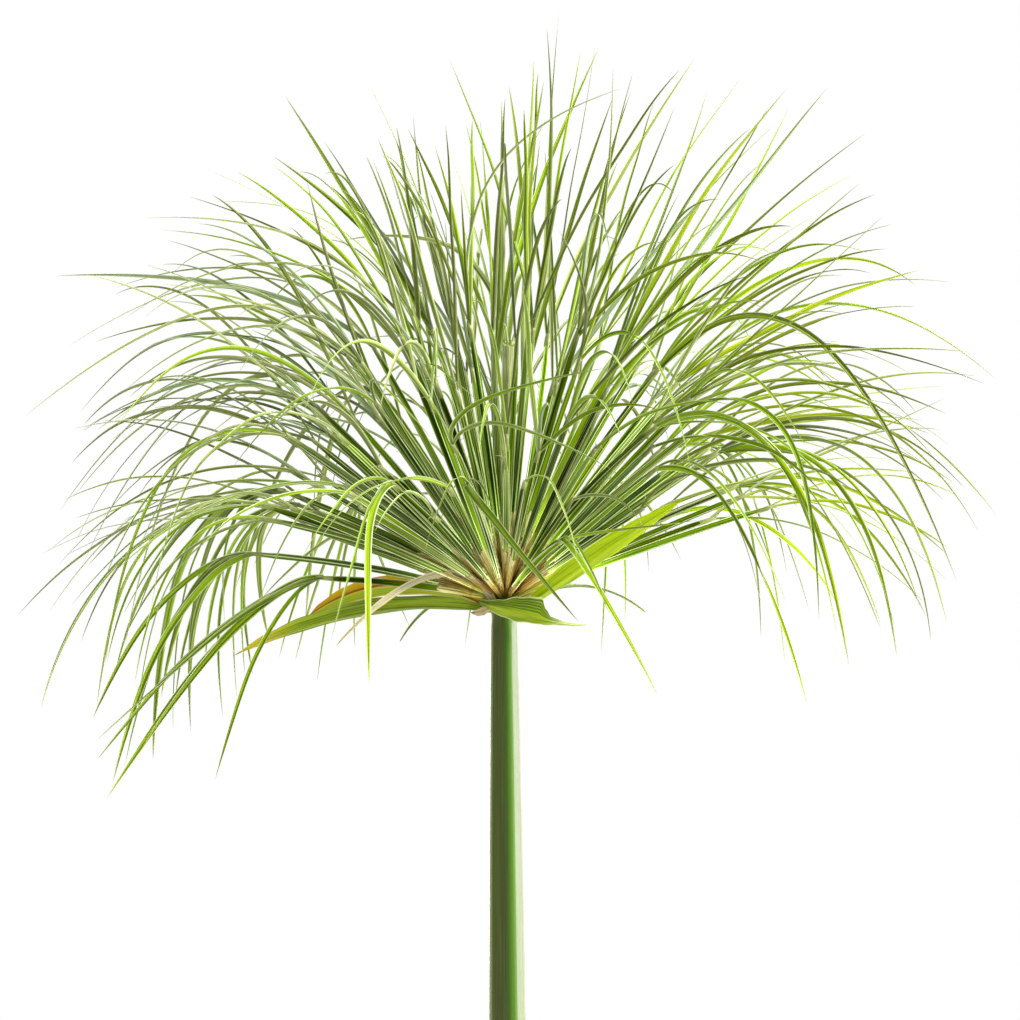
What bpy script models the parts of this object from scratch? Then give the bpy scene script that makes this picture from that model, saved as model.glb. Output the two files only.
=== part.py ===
"""A papyrus plant in a plain clay pot, in metres with +Z up.

One three-sided culm stands in the soil and carries a crown of thin rays, each forking into three
long leaflets, above a ring of broad bracts. The origin is the centre of the pot's underside, and
+Y is away from the viewer who faces the plant.
"""
import math
from dataclasses import dataclass

import bmesh
import bpy
from mathutils import Quaternion, Vector, kdtree

# Driving dimensions, metres
MM = 0.001
GAP = 0.0003
SMOOTH_ANGLE = math.radians(40.0)

POT_HEIGHT = 0.200
POT_BASE_RADIUS = 0.076
POT_MOUTH_RADIUS = 0.104
POT_WALL = 0.008
POT_FLOOR = 0.010
RIM_HEIGHT = 0.030
RIM_OVERHANG = 0.007
RIM_ROUND = 0.003
POT_SIDES = 32

SOIL_TOP = 0.176
SOIL_CROWN = 0.006
SOIL_SHOULDER = 0.6
ROOT_DEPTH = 0.036

CROWN = Vector((-0.006, 0.0, 0.800))
DOME_RADIUS = 0.0080
DOME_DROP = 0.0020
CULM_TOP_WIDTH = 0.0128
CULM_SWELL = 0.0125
CULM_SWELL_LENGTH = 0.360
CULM_ROUNDING = 0.16
CULM_CORNER_REACH = 0.403
CULM_TURN = math.radians(13.0)
CULM_STATIONS = 8
CULM_CROWDING = 0.8
CORNER_POINTS = 5
DOME_TILTS = (-22.0, 5.0, 34.0, 60.0, 80.0)

SHEATH_WALL = 0.0012
SHEATH_SLANT = 0.010
SHEATH_STATIONS = (0.0, 0.35, 0.7, 1.0)
INNER_SHEATH_HEIGHT = 0.085
OUTER_SHEATH_HEIGHT = 0.042

# A stalk's width at some steps of its centre line, from its fork down to the dome
STALK_LINE_STEPS = 12
STALK_WIDTHS = {12: 0.0024, 6: 0.0030, 2: 0.0026, 0: 0.0016}

STALK_STIFFNESS = 0.45
STALK_SAG = math.radians(7.0)
STEEPEST = math.radians(88.0)
FLATTEST = math.radians(2.0)
FORK_LENGTH = 0.0030
BLADE_STEPS = 6
BLADE_FLATNESS = 0.36
BLADE_LEAST_THICKNESS = 0.00035
BLADE_TAPER_START = 0.32
BLADE_TAPER_RUN = 0.62
BLADE_FULLNESS = 1.3
BLADE_LEAN = 0.2
BLADE_SPLAY = 0.16
LINE_STEPS = 24
TAPER_POWER = 0.8
BRACT_STEPS = 9
BRACT_FOOT_WIDTH = 0.55
BRACT_RIB = 0.0013
BRACT_LEAST_RIB = 0.0005

# How the rays keep clear of each other and of the bracts
LEAST_SPREAD = math.radians(14.0)
SPREAD_ROUNDS = 80
CLEARANCE = 0.0043
SAMPLE_STEP = 0.0025
CROWDED_RADIUS = 0.016
DEPTH_STEP = 4.0
STALK_TRIES = 13
LEAFLET_TRIES = 41

# The rays' colours, from left to right across the umbel, and for those far back in it
SHADED_GREEN = (0.16, 0.26, 0.07)
SUNNY_GREEN = (0.32, 0.38, 0.07)
BACK_GREEN = (0.18, 0.32, 0.15)
UMBEL_WIDTH = 240.0
BACK_DEPTH = 80.0

# How much further back or forward than its ray's fork a leaflet's tip lies, and how the three fan
DEPTH_GROWTH = 1.75
DEPTH_FAN = 10.0

# The places of rays and leaflets are given as they are seen from the front: millimetres across and
# up from the crown, from an eye this far away and this much to the right of the crown and above it.
EYE_DISTANCE = 1700.0
EYE_SIDE = 2.5
EYE_RISE = 44.0


@dataclass(frozen=True)
class Ray:
    """A ray of the umbel: where its fork is seen, how far back it lies, and its leaflets.

    A leaflet is (across, up, arch, width): its tip as seen, how far it runs on along the ray before
    it bends over, as a share of its span, and the width in millimetres that its fold leaves to be seen.
    """
    fork: tuple
    depth: float
    leaflets: tuple


@dataclass(frozen=True)
class Bract:
    """A broad leaf below the umbel: spine points (across, depth, up) and sizes in millimetres."""
    name: str
    spine: tuple
    width: float
    widest: float
    fold: float
    roll: tuple
    colour: tuple


RAYS = (
    # Left side, from the lowest ray upwards
    Ray((-91, 10), -60, ((-205, -72, 0.25, 2.0), (-199, -100, 0.25, 2.2), (-145, -91, 0.25, 0.9))),
    Ray((-126, 22), 20, ((-196, -92, 0.35, 2.4), (-172, -50, 0.40, 2.4), (-157, -68, 0.40, 1.8))),
    Ray((-121, 46), -30, ((-232, -55, 0.58, 2.6), (-204, -54, 0.55, 1.8), (-199, -32, 0.55, 1.0))),
    Ray((-117, 39), -62, ((-192, -24, 0.50, 1.0), (-185, -42, 0.50, 1.6), (-183, -53, 0.50, 1.2))),
    Ray((-110, 53), 40, ((-244, -9, 0.50, 0.9), (-228, -7, 0.50, 0.9), (-217, -4, 0.50, 1.4))),
    Ray((-102, 46), 85, ((-141, -60, 0.50, 1.6), (-130, -39, 0.50, 1.8), (-126, -39, 0.60, 2.0))),
    Ray((-93, 95), -20, ((-215, 27, 0.60, 1.4), (-212, 15, 0.55, 1.2), (-216, 50, 0.55, 1.0))),
    Ray((-107, 80), -45, ((-202, 4, 0.55, 1.4), (-185, 19, 0.55, 1.2), (-177, -6, 0.50, 1.4))),
    Ray((-86, 101), 35, ((-223, 43, 0.60, 1.6), (-213, 83, 0.50, 0.8), (-196, 88, 0.50, 1.2))),
    Ray((-78, 120), -15, ((-241, 90, 0.50, 1.6), (-205, 128, 0.50, 1.4), (-192, 102, 0.60, 0.9))),
    Ray((-65, 124), 25, ((-218, 126, 0.70, 1.6), (-225, 161, 0.45, 2.6), (-195, 155, 0.55, 1.2))),
    Ray((-70, 115), -70, ((-99, 208, 0.50, 1.6), (-172, 157, 0.50, 1.2), (-169, 179, 0.55, 1.0))),
    Ray((-51, 129), -40, ((-180, 190, 0.50, 1.8), (-172, 184, 0.50, 0.9), (-190, 140, 0.70, 1.2))),
    Ray((-43, 131), 60, ((-146, 213, 0.40, 1.2), (-159, 201, 0.45, 0.8), (-143, 198, 0.60, 1.0))),
    Ray((-37, 134), -20, ((-116, 221, 0.40, 2.4), (-110, 251, 0.35, 2.4), (-66, 219, 0.40, 1.6))),
    # Top, from left to right
    Ray((-26, 135), 38, ((-67, 255, 0.40, 1.0), (-46, 242, 0.40, 1.4), (-46, 232, 0.30, 2.0))),
    Ray((-17, 134), -50, ((-35, 226, 0.40, 2.0), (59, 255, 0.65, 0.9), (-22, 205, 0.40, 1.4))),
    Ray((-1, 134), 50, ((47, 275, 0.45, 2.2), (21, 240, 0.50, 1.8), (-80, 179, 0.60, 2.0))),
    Ray((14, 133), -18, ((21, 285, 0.40, 2.2), (-28, 270, 0.40, 1.0), (38, 274, 0.40, 1.6))),
    Ray((21, 130), 72, ((95, 270, 0.50, 2.2), (27, 293, 0.30, 0.9), (45, 276, 0.30, 1.2))),
    Ray((36, 130), -58, ((54, 266, 0.35, 1.4), (64, 263, 0.35, 1.4), (85, 246, 0.50, 1.2))),
    Ray((47, 126), 22, ((101, 253, 0.45, 1.4), (118, 260, 0.45, 0.9), (134, 236, 0.40, 1.2))),
    # Right side, from the top downwards
    Ray((58, 122), -22, ((161, 255, 0.40, 2.4), (141, 255, 0.40, 2.2), (132, 246, 0.35, 1.8))),
    Ray((67, 118), 50, ((142, 245, 0.35, 2.2), (181, 233, 0.35, 2.0), (174, 212, 0.50, 1.2))),
    Ray((75, 112), -50, ((194, 187, 0.65, 1.4), (226, 8, 0.65, 2.6), (178, 208, 0.35, 1.6))),
    Ray((85, 106), 15, ((207, 164, 0.50, 2.6), (246, 109, 0.70, 1.8), (222, 158, 0.60, 1.0))),
    Ray((92, 99), -78, ((189, 191, 0.40, 1.6), (232, 123, 0.50, 1.4), (240, 107, 0.50, 2.8))),
    Ray((100, 88), -18, ((221, 92, 0.50, 2.0), (246, 41, 0.60, 1.6), (237, 33, 0.65, 1.0))),
    Ray((107, 79), 55, ((226, 53, 0.60, 0.9), (220, 106, 0.40, 1.4), (209, 89, 0.50, 1.0))),
    Ray((105, 72), -48, ((206, 69, 0.50, 2.6), (221, -13, 0.75, 1.8), (213, -22, 0.70, 2.2))),
    Ray((114, 55), 18, ((222, 21, 0.50, 2.0), (211, -10, 0.50, 1.4), (220, 100, 0.20, 1.8))),
    Ray((75, 85), -88, ((157, -11, 0.75, 2.2), (188, -16, 0.60, 2.0), (195, -15, 0.65, 0.9))),
    Ray((75, 64), -106, ((151, -53, 0.50, 2.2), (128, -3, 0.45, 1.4), (141, -3, 0.45, 1.6))),
    # Front, bending over towards the viewer
    Ray((28, 29), -120, ((76, -48, 0.45, 1.6), (97, 39, 0.40, 1.0), (52, -8, 0.40, 1.2))),
    Ray((37, 118), -84, ((93, 64, 0.60, 1.6), (72, 174, 0.40, 1.4), (27, 184, 0.40, 1.6))),
    Ray((-56, 57), -115, ((-68, -43, 0.25, 2.2), (-87, -21, 0.30, 1.0), (-102, 19, 0.40, 1.4))),
    Ray((-18, 56), -126, ((37, -12, 0.20, 2.2), (-5, 43, 0.40, 1.0), (-40, 24, 0.40, 1.2))),
    Ray((-26, 76), -118, ((50, 115, 0.50, 2.0), (54, 64, 0.60, 1.8), (-39, 100, 0.40, 1.2))),
    Ray((-34, 106), -95, ((-20, 117, 0.50, 1.0), (-12, 97, 0.60, 1.2), (-50, 160, 0.40, 1.4))),
    Ray((-64, 96), -92, ((-37, 80, 0.50, 1.4), (-127, 134, 0.50, 1.8), (-137, 64, 0.60, 1.8))),
    # Back, seen between the others and below them
    Ray((-55, 60), 116, ((-94, -42, 0.55, 1.8), (-105, -32, 0.55, 1.6), (-47, -16, 0.55, 1.4))),
    Ray((45, 60), 120, ((72, 12, 0.55, 1.6), (88, 19, 0.55, 1.6), (48, -28, 0.55, 1.4))),
    Ray((85, 75), 92, ((141, 12, 0.55, 1.6), (177, 26, 0.55, 1.4), (118, 29, 0.55, 1.2))),
    Ray((-60, 100), 88, ((-150, 80, 0.55, 1.6), (-120, 140, 0.50, 1.4), (-95, 30, 0.60, 1.4))),
    Ray((-8, 62), 128, ((-20, -24, 0.55, 1.8), (12, 6, 0.55, 1.4), (-35, 30, 0.50, 1.4))),
    Ray((-22, 106), 98, ((-70, 130, 0.50, 1.6), (-30, 190, 0.40, 1.4), (-15, 90, 0.60, 1.4))),
    Ray((24, 100), 104, ((60, 140, 0.50, 1.8), (20, 180, 0.40, 1.4), (35, 70, 0.60, 1.4))),
    Ray((58, 104), 92, ((120, 120, 0.50, 1.6), (90, 190, 0.40, 1.6), (100, 70, 0.60, 1.4))),
)

BRACTS = (
    Bract("bract_left", ((-11, -3, -6), (-48, -12, 0), (-96, -22, -8), (-134, -28, -28)),
          14.0, 0.40, 40.0, (35.0, 60.0), (0.36, 0.48, 0.10)),
    Bract("bract_left_upper", ((-10, 4, -4), (-42, 14, 12), (-76, 24, 9), (-101, 30, -11)),
          11.0, 0.45, 36.0, (20.0, 45.0), (0.62, 0.42, 0.05)),
    Bract("bract_front", ((-8, -12, -3), (6, -19, -5), (22, -21, -13), (41, -17, -13)),
          17.0, 0.30, 26.0, (-60.0, -62.0), (0.42, 0.55, 0.12)),
    Bract("bract_right", ((9, -5, -5), (32, -22, 12), (58, -34, 30), (88, -42, 50)),
          12.0, 0.50, 30.0, (-30.0, -60.0), (0.55, 0.70, 0.04)),
    Bract("bract_dry", ((-6, -9, -2), (-16, -17, 22), (-48, -34, 18), (-82, -50, -22)),
          6.5, 0.35, 20.0, (10.0, 70.0), (0.72, 0.62, 0.40)),
    Bract("bract_back_left", ((-5, 10, -6), (-22, 38, 4), (-40, 70, 0), (-56, 98, -26)),
          13.0, 0.42, 34.0, (0.0, 0.0), (0.34, 0.48, 0.12)),
    Bract("bract_back_right", ((6, 10, -6), (24, 34, 8), (50, 62, 10), (74, 86, -10)),
          12.0, 0.42, 34.0, (0.0, 0.0), (0.38, 0.52, 0.10)),
)


def clear_scene():
    """Remove every object that the file holds."""
    for item in list(bpy.data.objects):
        bpy.data.objects.remove(item, do_unlink=True)


def finish(name, colour, roughness):
    """A plain material with one colour and one roughness."""
    material = bpy.data.materials.new(name)
    material.use_nodes = True
    shader = material.node_tree.nodes["Principled BSDF"]
    shader.inputs["Base Color"].default_value = (*colour, 1.0)
    shader.inputs["Roughness"].default_value = roughness
    shader.inputs["Metallic"].default_value = 0.0
    return material


def add_object(name, mesh_builder, material):
    """Close a bmesh into a named object that wears the material."""
    bmesh.ops.recalc_face_normals(mesh_builder, faces=mesh_builder.faces)
    if mesh_builder.calc_volume(signed=True) < 0.0:
        bmesh.ops.reverse_faces(mesh_builder, faces=mesh_builder.faces)
    bmesh.ops.triangulate(mesh_builder, faces=[face for face in mesh_builder.faces if len(face.verts) == 4])
    mesh = bpy.data.meshes.new(name)
    mesh_builder.to_mesh(mesh)
    mesh_builder.free()
    mesh.shade_smooth()
    mesh.set_sharp_from_angle(angle=SMOOTH_ANGLE)
    mesh.materials.append(material)
    item = bpy.data.objects.new(name, mesh)
    bpy.context.scene.collection.objects.link(item)
    return item


def bridge(builder, low, high):
    """Join two rings of as many vertices with four-sided faces."""
    count = len(low)
    for i in range(count):
        builder.faces.new((low[i], low[(i + 1) % count], high[(i + 1) % count], high[i]))


def loft(rings, cap_end=True, ring_shaped=False):
    """A bmesh through rings of points; ring_shaped joins the last ring to the first."""
    builder = bmesh.new()
    made = [[builder.verts.new(point) for point in ring] for ring in rings]
    for low, high in zip(made, made[1:]):
        bridge(builder, low, high)
    if ring_shaped:
        bridge(builder, made[-1], made[0])
        return builder
    builder.faces.new(list(reversed(made[0])))
    if cap_end:
        builder.faces.new(made[-1])
    return builder


def circle(radius, height):
    """A level ring of points round the pot's axis."""
    turns = [2.0 * math.pi * i / POT_SIDES for i in range(POT_SIDES)]
    return [Vector((radius * math.cos(turn), radius * math.sin(turn), height)) for turn in turns]


def make_pot():
    """The clay pot: a tapered wall with a plain rolled rim, turned round the axis."""
    slope = (POT_MOUTH_RADIUS - POT_BASE_RADIUS) / POT_HEIGHT
    rim_foot = POT_HEIGHT - RIM_HEIGHT

    def wall(height):
        return POT_BASE_RADIUS + slope * height

    rim_radius = POT_MOUTH_RADIUS + RIM_OVERHANG
    profile = (
        (POT_BASE_RADIUS - RIM_ROUND, 0.0),
        (POT_BASE_RADIUS, RIM_ROUND),
        (wall(rim_foot), rim_foot),
        (rim_radius - RIM_ROUND, rim_foot),
        (rim_radius, rim_foot + RIM_ROUND),
        (rim_radius, POT_HEIGHT - RIM_ROUND),
        (rim_radius - RIM_ROUND, POT_HEIGHT),
        (POT_MOUTH_RADIUS - POT_WALL + RIM_ROUND, POT_HEIGHT),
        (POT_MOUTH_RADIUS - POT_WALL, POT_HEIGHT - RIM_ROUND),
        (wall(POT_FLOOR) - POT_WALL, POT_FLOOR),
    )
    builder = loft([circle(radius, height) for radius, height in profile])
    return add_object("pot", builder, finish("clay", (0.50, 0.22, 0.12), 0.85))


def inside_pot(height):
    """The pot's inner radius at a height."""
    share = (height - POT_FLOOR) / (POT_HEIGHT - RIM_ROUND - POT_FLOOR)
    low = POT_BASE_RADIUS + (POT_MOUTH_RADIUS - POT_BASE_RADIUS) * POT_FLOOR / POT_HEIGHT - POT_WALL
    return low + (POT_MOUTH_RADIUS - POT_WALL - low) * share


def culm_axis(height):
    """The culm's centre line: it leans a little to the left on its way up."""
    share = (height - SOIL_TOP) / (CROWN.z - SOIL_TOP)
    return Vector((CROWN.x * share, CROWN.y * share, height))


def culm_width(height):
    """The culm's width across its faces, which grows quickly below the crown."""
    below = max(0.0, CROWN.z - height)
    return CULM_TOP_WIDTH + CULM_SWELL * (1.0 - math.exp(-below / CULM_SWELL_LENGTH))


def culm_section(height, grow=0.0):
    """The rounded triangle of the culm at a height, grown outwards."""
    width = culm_width(height)
    corner_radius = CULM_ROUNDING * width + grow
    corner_reach = CULM_CORNER_REACH * width
    centre = culm_axis(height)
    points = []
    for corner in range(3):
        facing = math.radians(-90.0) + CULM_TURN + corner * 2.0 * math.pi / 3.0
        middle = Vector((math.cos(facing), math.sin(facing), 0.0)) * corner_reach
        for step in range(CORNER_POINTS + 1):
            if step == CORNER_POINTS:
                turn = facing + math.pi / 3.0
                flat = corner_reach * 0.5 + corner_radius
                point = Vector((math.cos(turn), math.sin(turn), 0.0)) * flat
            else:
                turn = facing + math.radians(-60.0 + 120.0 * step / (CORNER_POINTS - 1))
                point = middle + Vector((math.cos(turn), math.sin(turn), 0.0)) * corner_radius
            points.append(centre + point)
    return points


def dome_centre():
    """The centre of the little dome that the rays grow from."""
    return CROWN - Vector((0.0, 0.0, DOME_DROP))


def make_culm():
    """The stem: a rounded triangle that ends in a dome, rooted in the soil."""
    foot = SOIL_TOP - ROOT_DEPTH
    neck = CROWN.z - DOME_DROP - DOME_RADIUS
    rings = []
    for step in range(CULM_STATIONS + 1):
        share = (step / CULM_STATIONS) ** CULM_CROWDING
        rings.append(culm_section(foot + (neck - foot) * share))
    outwards = [(point - culm_axis(CROWN.z)).normalized() for point in culm_section(CROWN.z)]
    for tilt in DOME_TILTS:
        reach = DOME_RADIUS * math.cos(math.radians(tilt))
        middle = dome_centre() + Vector((0.0, 0.0, DOME_RADIUS * math.sin(math.radians(tilt))))
        rings.append([middle + outward * reach for outward in outwards])
    return add_object("culm", loft(rings), finish("culm_green", (0.13, 0.20, 0.06), 0.42))


def make_sheath(name, height, inner_grow, slant_turn, colour):
    """A dry leaf sheath round the culm's foot, with a slanted mouth."""
    foot = SOIL_TOP - ROOT_DEPTH
    outer_grow = inner_grow + SHEATH_WALL

    def ring(share, grow):
        base = culm_section(foot + (SOIL_TOP + height - foot) * share, grow)
        middle = culm_axis(base[0].z)
        for point in base:
            turn = math.atan2(point.y - middle.y, point.x - middle.x)
            point.z += share * share * SHEATH_SLANT * math.cos(turn - slant_turn)
        return base

    rings = [ring(share, outer_grow) for share in SHEATH_STATIONS]
    rings += [ring(share, inner_grow) for share in reversed(SHEATH_STATIONS)]
    return add_object(name, loft(rings, ring_shaped=True), finish(name + "_husk", colour, 0.8))


def make_soil():
    """The potting soil: it fills the pot and has a pocket for the culm's foot."""
    pocket_grow = GAP * 3.0 + SHEATH_WALL * 2.0
    bottom = POT_FLOOR + GAP
    mouth = SOIL_TOP + SOIL_CROWN
    outer = [
        circle(inside_pot(bottom) - GAP, bottom),
        circle(inside_pot(SOIL_TOP) - GAP, SOIL_TOP),
        circle(inside_pot(SOIL_TOP) * SOIL_SHOULDER, SOIL_TOP + SOIL_CROWN * SOIL_SHOULDER),
    ]
    builder = loft(outer, cap_end=False)
    pocket = [culm_section(mouth, grow=pocket_grow),
              culm_section(SOIL_TOP - ROOT_DEPTH - GAP, grow=pocket_grow)]
    upper, lower = [[builder.verts.new(point) for point in ring] for ring in pocket]
    bridge(builder, upper, lower)
    builder.faces.new(lower)
    open_edges = [edge for edge in builder.edges if len(edge.link_faces) == 1]
    bmesh.ops.bridge_loops(builder, edges=open_edges)
    return add_object("soil", builder, finish("potting_soil", (0.045, 0.028, 0.018), 0.95))


def seen_at(across, up, depth):
    """The point in space that is seen across and up from the crown, a depth behind it."""
    grow = 1.0 + depth / EYE_DISTANCE
    side = EYE_SIDE + (across - EYE_SIDE) * grow
    rise = EYE_RISE + (up - EYE_RISE) * grow
    return CROWN + Vector((side, depth, rise)) * MM


def curve_point(start, bend, end, share):
    """A point of the curve that leaves start towards bend and arrives at end."""
    rest = 1.0 - share
    return start * (rest * rest) + bend * (2.0 * rest * share) + end * (share * share)


def curve_points(start, bend, end, steps):
    """Evenly stepped points of that curve, both ends included."""
    return [curve_point(start, bend, end, step / steps) for step in range(steps + 1)]


def samples(line):
    """Points close together along a line, for measuring how near two lines come."""
    points = []
    for low, high in zip(line, line[1:]):
        count = max(1, math.ceil((high - low).length / SAMPLE_STEP))
        points += [low.lerp(high, step / count) for step in range(count)]
    return points + [line[-1]]


def spread_directions(directions):
    """Turn directions apart until no two are closer than the least spread."""
    spread = [direction.normalized() for direction in directions]
    for _ in range(SPREAD_ROUNDS):
        for i in range(len(spread)):
            for j in range(i):
                between = spread[i].angle(spread[j])
                if between < LEAST_SPREAD:
                    axis = spread[j].cross(spread[i])
                    push = 0.5 * (LEAST_SPREAD - between)
                    spread[i] = Quaternion(axis, push) @ spread[i]
                    spread[j] = Quaternion(axis, -push) @ spread[j]
    return spread


def start_direction(ray):
    """The way a ray leaves the dome: a little steeper than its fork lies, because it sags."""
    aim = seen_at(*ray.fork, ray.depth) - dome_centre()
    level = math.hypot(aim.x, aim.y)
    rise = math.atan2(aim.z, level)
    rise = max(FLATTEST, min(STEEPEST, rise + STALK_SAG * math.cos(rise)))
    return Vector((aim.x / level * math.cos(rise), aim.y / level * math.cos(rise), math.sin(rise)))


class Space:
    """The lines that already stand in the umbel, and how near a new one would come."""

    def __init__(self, points):
        self.points = []
        self.add(points)

    def add(self, points):
        """Stand more points in the umbel."""
        self.points += points
        self.tree = kdtree.KDTree(len(self.points))
        for i, point in enumerate(self.points):
            self.tree.insert(point, i)
        self.tree.balance()

    def nearest(self, points):
        """The least distance of points outside the crowded middle to what stands there."""
        centre = dome_centre()
        least = 1.0
        for point in points:
            if (point - centre).length > CROWDED_RADIUS:
                least = min(least, self.tree.find(point)[2])
        return least


def depth_offsets(count):
    """Nothing, then growing steps back and forward by turns, in millimetres."""
    for turn in range(count):
        yield DEPTH_STEP * ((turn + 1) // 2) * (1 if turn % 2 else -1)


def clearest(lines, space):
    """The first of some lines that clears what stands, or else the one with the most room."""
    best_room, best_line = -1.0, None
    for line in lines:
        room = space.nearest(samples(line))
        if room > best_room:
            best_room, best_line = room, line
        if room > CLEARANCE:
            break
    return best_line


def stalk_line(ray, direction, offset):
    """A ray's centre line from the dome to its fork, moved back by an offset."""
    base = dome_centre() + direction * (DOME_RADIUS + GAP)
    fork = seen_at(*ray.fork, ray.depth + offset)
    bend = base + direction * (STALK_STIFFNESS * (fork - base).length)
    return curve_points(base, bend, fork, STALK_LINE_STEPS)


def leaflet_line(fork, heading, splay, leaflet, depth):
    """A leaflet's centre line from its fork to its tip at a depth, bending over under its weight."""
    across, up, arch, _ = leaflet
    tip = seen_at(across, up, depth)
    span = tip - fork
    lead = (heading.lerp(span.normalized(), BLADE_LEAN) + splay).normalized()
    return curve_points(fork, fork + lead * (arch * span.length), tip, LINE_STEPS)


def plan_rays(obstacles):
    """The centre lines of every ray and its leaflets, kept clear of each other and of the bracts."""
    space = Space(obstacles)
    directions = spread_directions([start_direction(ray) for ray in RAYS])
    plans = []
    for ray, direction in zip(RAYS, directions):
        stalk = clearest((stalk_line(ray, direction, offset) for offset in depth_offsets(STALK_TRIES)), space)
        fork = stalk[-1]
        heading = (fork - stalk[-2]).normalized()
        aside = heading.orthogonal().normalized()
        other = heading.cross(aside)
        lines = []
        for place, leaflet in enumerate(ray.leaflets):
            turn = 2.0 * math.pi * place / len(ray.leaflets)
            splay = (aside * math.cos(turn) + other * math.sin(turn)) * BLADE_SPLAY
            depth = (fork.y - CROWN.y) / MM * DEPTH_GROWTH + DEPTH_FAN * (place - 1)
            lines.append(clearest((leaflet_line(fork, heading, splay, leaflet, depth + offset)
                                   for offset in depth_offsets(LEAFLET_TRIES)), space))
        space.add([point for line in [stalk, *lines] for point in samples(line)])
        plans.append((stalk, lines))
    return plans


def frame_at(line, index, side):
    """The heading of a line at a point, and the side vector turned square to it."""
    after = line[min(index + 1, len(line) - 1)]
    before = line[max(index - 1, 0)]
    heading = (after - before).normalized()
    return heading, (side - heading * side.dot(heading)).normalized()


def fork_order(stalk, lines):
    """The leaflets in their order round the stalk, and the side that the first one leaves from."""
    heading = (stalk[-1] - stalk[-2]).normalized()
    away = []
    for line in lines:
        step = line[len(line) // 3] - stalk[-1]
        away.append(step - heading * step.dot(heading))
    middle = sum(away, Vector()) / len(away)
    aside = heading.orthogonal().normalized()
    other = heading.cross(aside)
    turns = [math.atan2((step - middle).dot(other), (step - middle).dot(aside)) for step in away]
    order = sorted(range(len(lines)), key=turns.__getitem__)
    start = turns[order[0]] - math.pi / len(lines)
    return order, aside * math.cos(start) + other * math.sin(start)


def leaflet_taper(share):
    """A leaflet's width along its length, as a share of its widest."""
    return math.sin(math.pi * (BLADE_TAPER_START + BLADE_TAPER_RUN * share)) ** TAPER_POWER


def add_leaflet(builder, root, line, width):
    """A tapering three-sided leaflet from the three root vertices along a line to a point."""
    low = root
    edge = (root[1].co - root[0].co).normalized()
    for step in range(1, BLADE_STEPS + 1):
        share = step / (BLADE_STEPS + 1)
        index = round(share * (len(line) - 1))
        way, edge = frame_at(line, index, edge)
        inward = way.cross(edge)
        half = 0.5 * width * leaflet_taper(share)
        thick = max(BLADE_LEAST_THICKNESS, width * BLADE_FLATNESS * leaflet_taper(share))
        outer = line[index] - inward * thick / 3.0
        high = [builder.verts.new(point)
                for point in (outer - edge * half, outer + edge * half, outer + inward * thick)]
        bridge(builder, low, high)
        low = high
    tip = builder.verts.new(line[-1])
    for i in range(3):
        builder.faces.new((low[i], low[(i + 1) % 3], tip))


def make_ray(name, plan, widths, colour):
    """A three-sided stalk whose pointed end forks into three leaflets, one from each of its faces."""
    stalk, lines = plan
    builder = bmesh.new()
    order, side = fork_order(stalk, lines)
    rings = []
    for index, width in STALK_WIDTHS.items():
        reach = width / math.sqrt(3.0)
        way, side = frame_at(stalk, index, side)
        across = way.cross(side)
        turns = [2.0 * math.pi * corner / 3.0 for corner in range(3)]
        rings.insert(0, [builder.verts.new(stalk[index] + (side * math.cos(turn) + across * math.sin(turn))
                                           * reach) for turn in turns])
    for low, high in zip(rings, rings[1:]):
        bridge(builder, low, high)
    builder.faces.new(list(reversed(rings[0])))
    apex = builder.verts.new(stalk[-1] + (stalk[-1] - stalk[-2]).normalized() * FORK_LENGTH)
    for place, leaf in enumerate(order):
        root = [rings[-1][place], rings[-1][(place + 1) % 3], apex]
        add_leaflet(builder, root, lines[leaf], widths[leaf] * BLADE_FULLNESS * MM)
    return add_object(name, builder, finish(name + "_green", colour, 0.5))


def bract_swell(share, widest):
    """A bract's width along its length, as a share of its widest."""
    if share < widest:
        return BRACT_FOOT_WIDTH + (1.0 - BRACT_FOOT_WIDTH) * math.sin(0.5 * math.pi * share / widest)
    return math.cos(0.5 * math.pi * (share - widest) / (1.0 - widest)) ** TAPER_POWER


def bract_rings(bract):
    """The four-cornered folded sections of a bract, from its foot to just before its tip."""
    start, leave, arrive, end = [CROWN + Vector(point) * MM for point in bract.spine]
    line = []
    for step in range(BRACT_STEPS + 1):
        t = step / BRACT_STEPS
        s = 1.0 - t
        line.append(start * s ** 3 + leave * 3.0 * s * s * t + arrive * 3.0 * s * t * t + end * t ** 3)
    side = (leave - start).cross(Vector((0.0, 0.0, 1.0))).normalized()
    fold = math.radians(bract.fold)
    rings = []
    for index in range(BRACT_STEPS):
        share = index / BRACT_STEPS
        swell = bract_swell(share, bract.widest)
        way, side = frame_at(line, index, side)
        turned = Quaternion(way, math.radians(bract.roll[0] + (bract.roll[1] - bract.roll[0]) * share)) @ side
        rise = turned.cross(way)
        half = 0.5 * bract.width * MM * swell
        rib = rise * (0.5 * max(BRACT_LEAST_RIB, BRACT_RIB * swell))
        lift = rise * (half * math.sin(fold))
        spread = turned * (half * math.cos(fold))
        rings.append([line[index] - spread + lift, line[index] - rib,
                      line[index] + spread + lift, line[index] + rib])
    return rings, line[-1]


def bract_points(rings):
    """Points across a bract at each section and halfway to the next, for the rays to keep clear of."""
    points = []
    for low, high in zip(rings, rings[1:]):
        points += samples(low[:3]) + [first.lerp(second, 0.5) for first, second in zip(low, high)]
    return points


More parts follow.
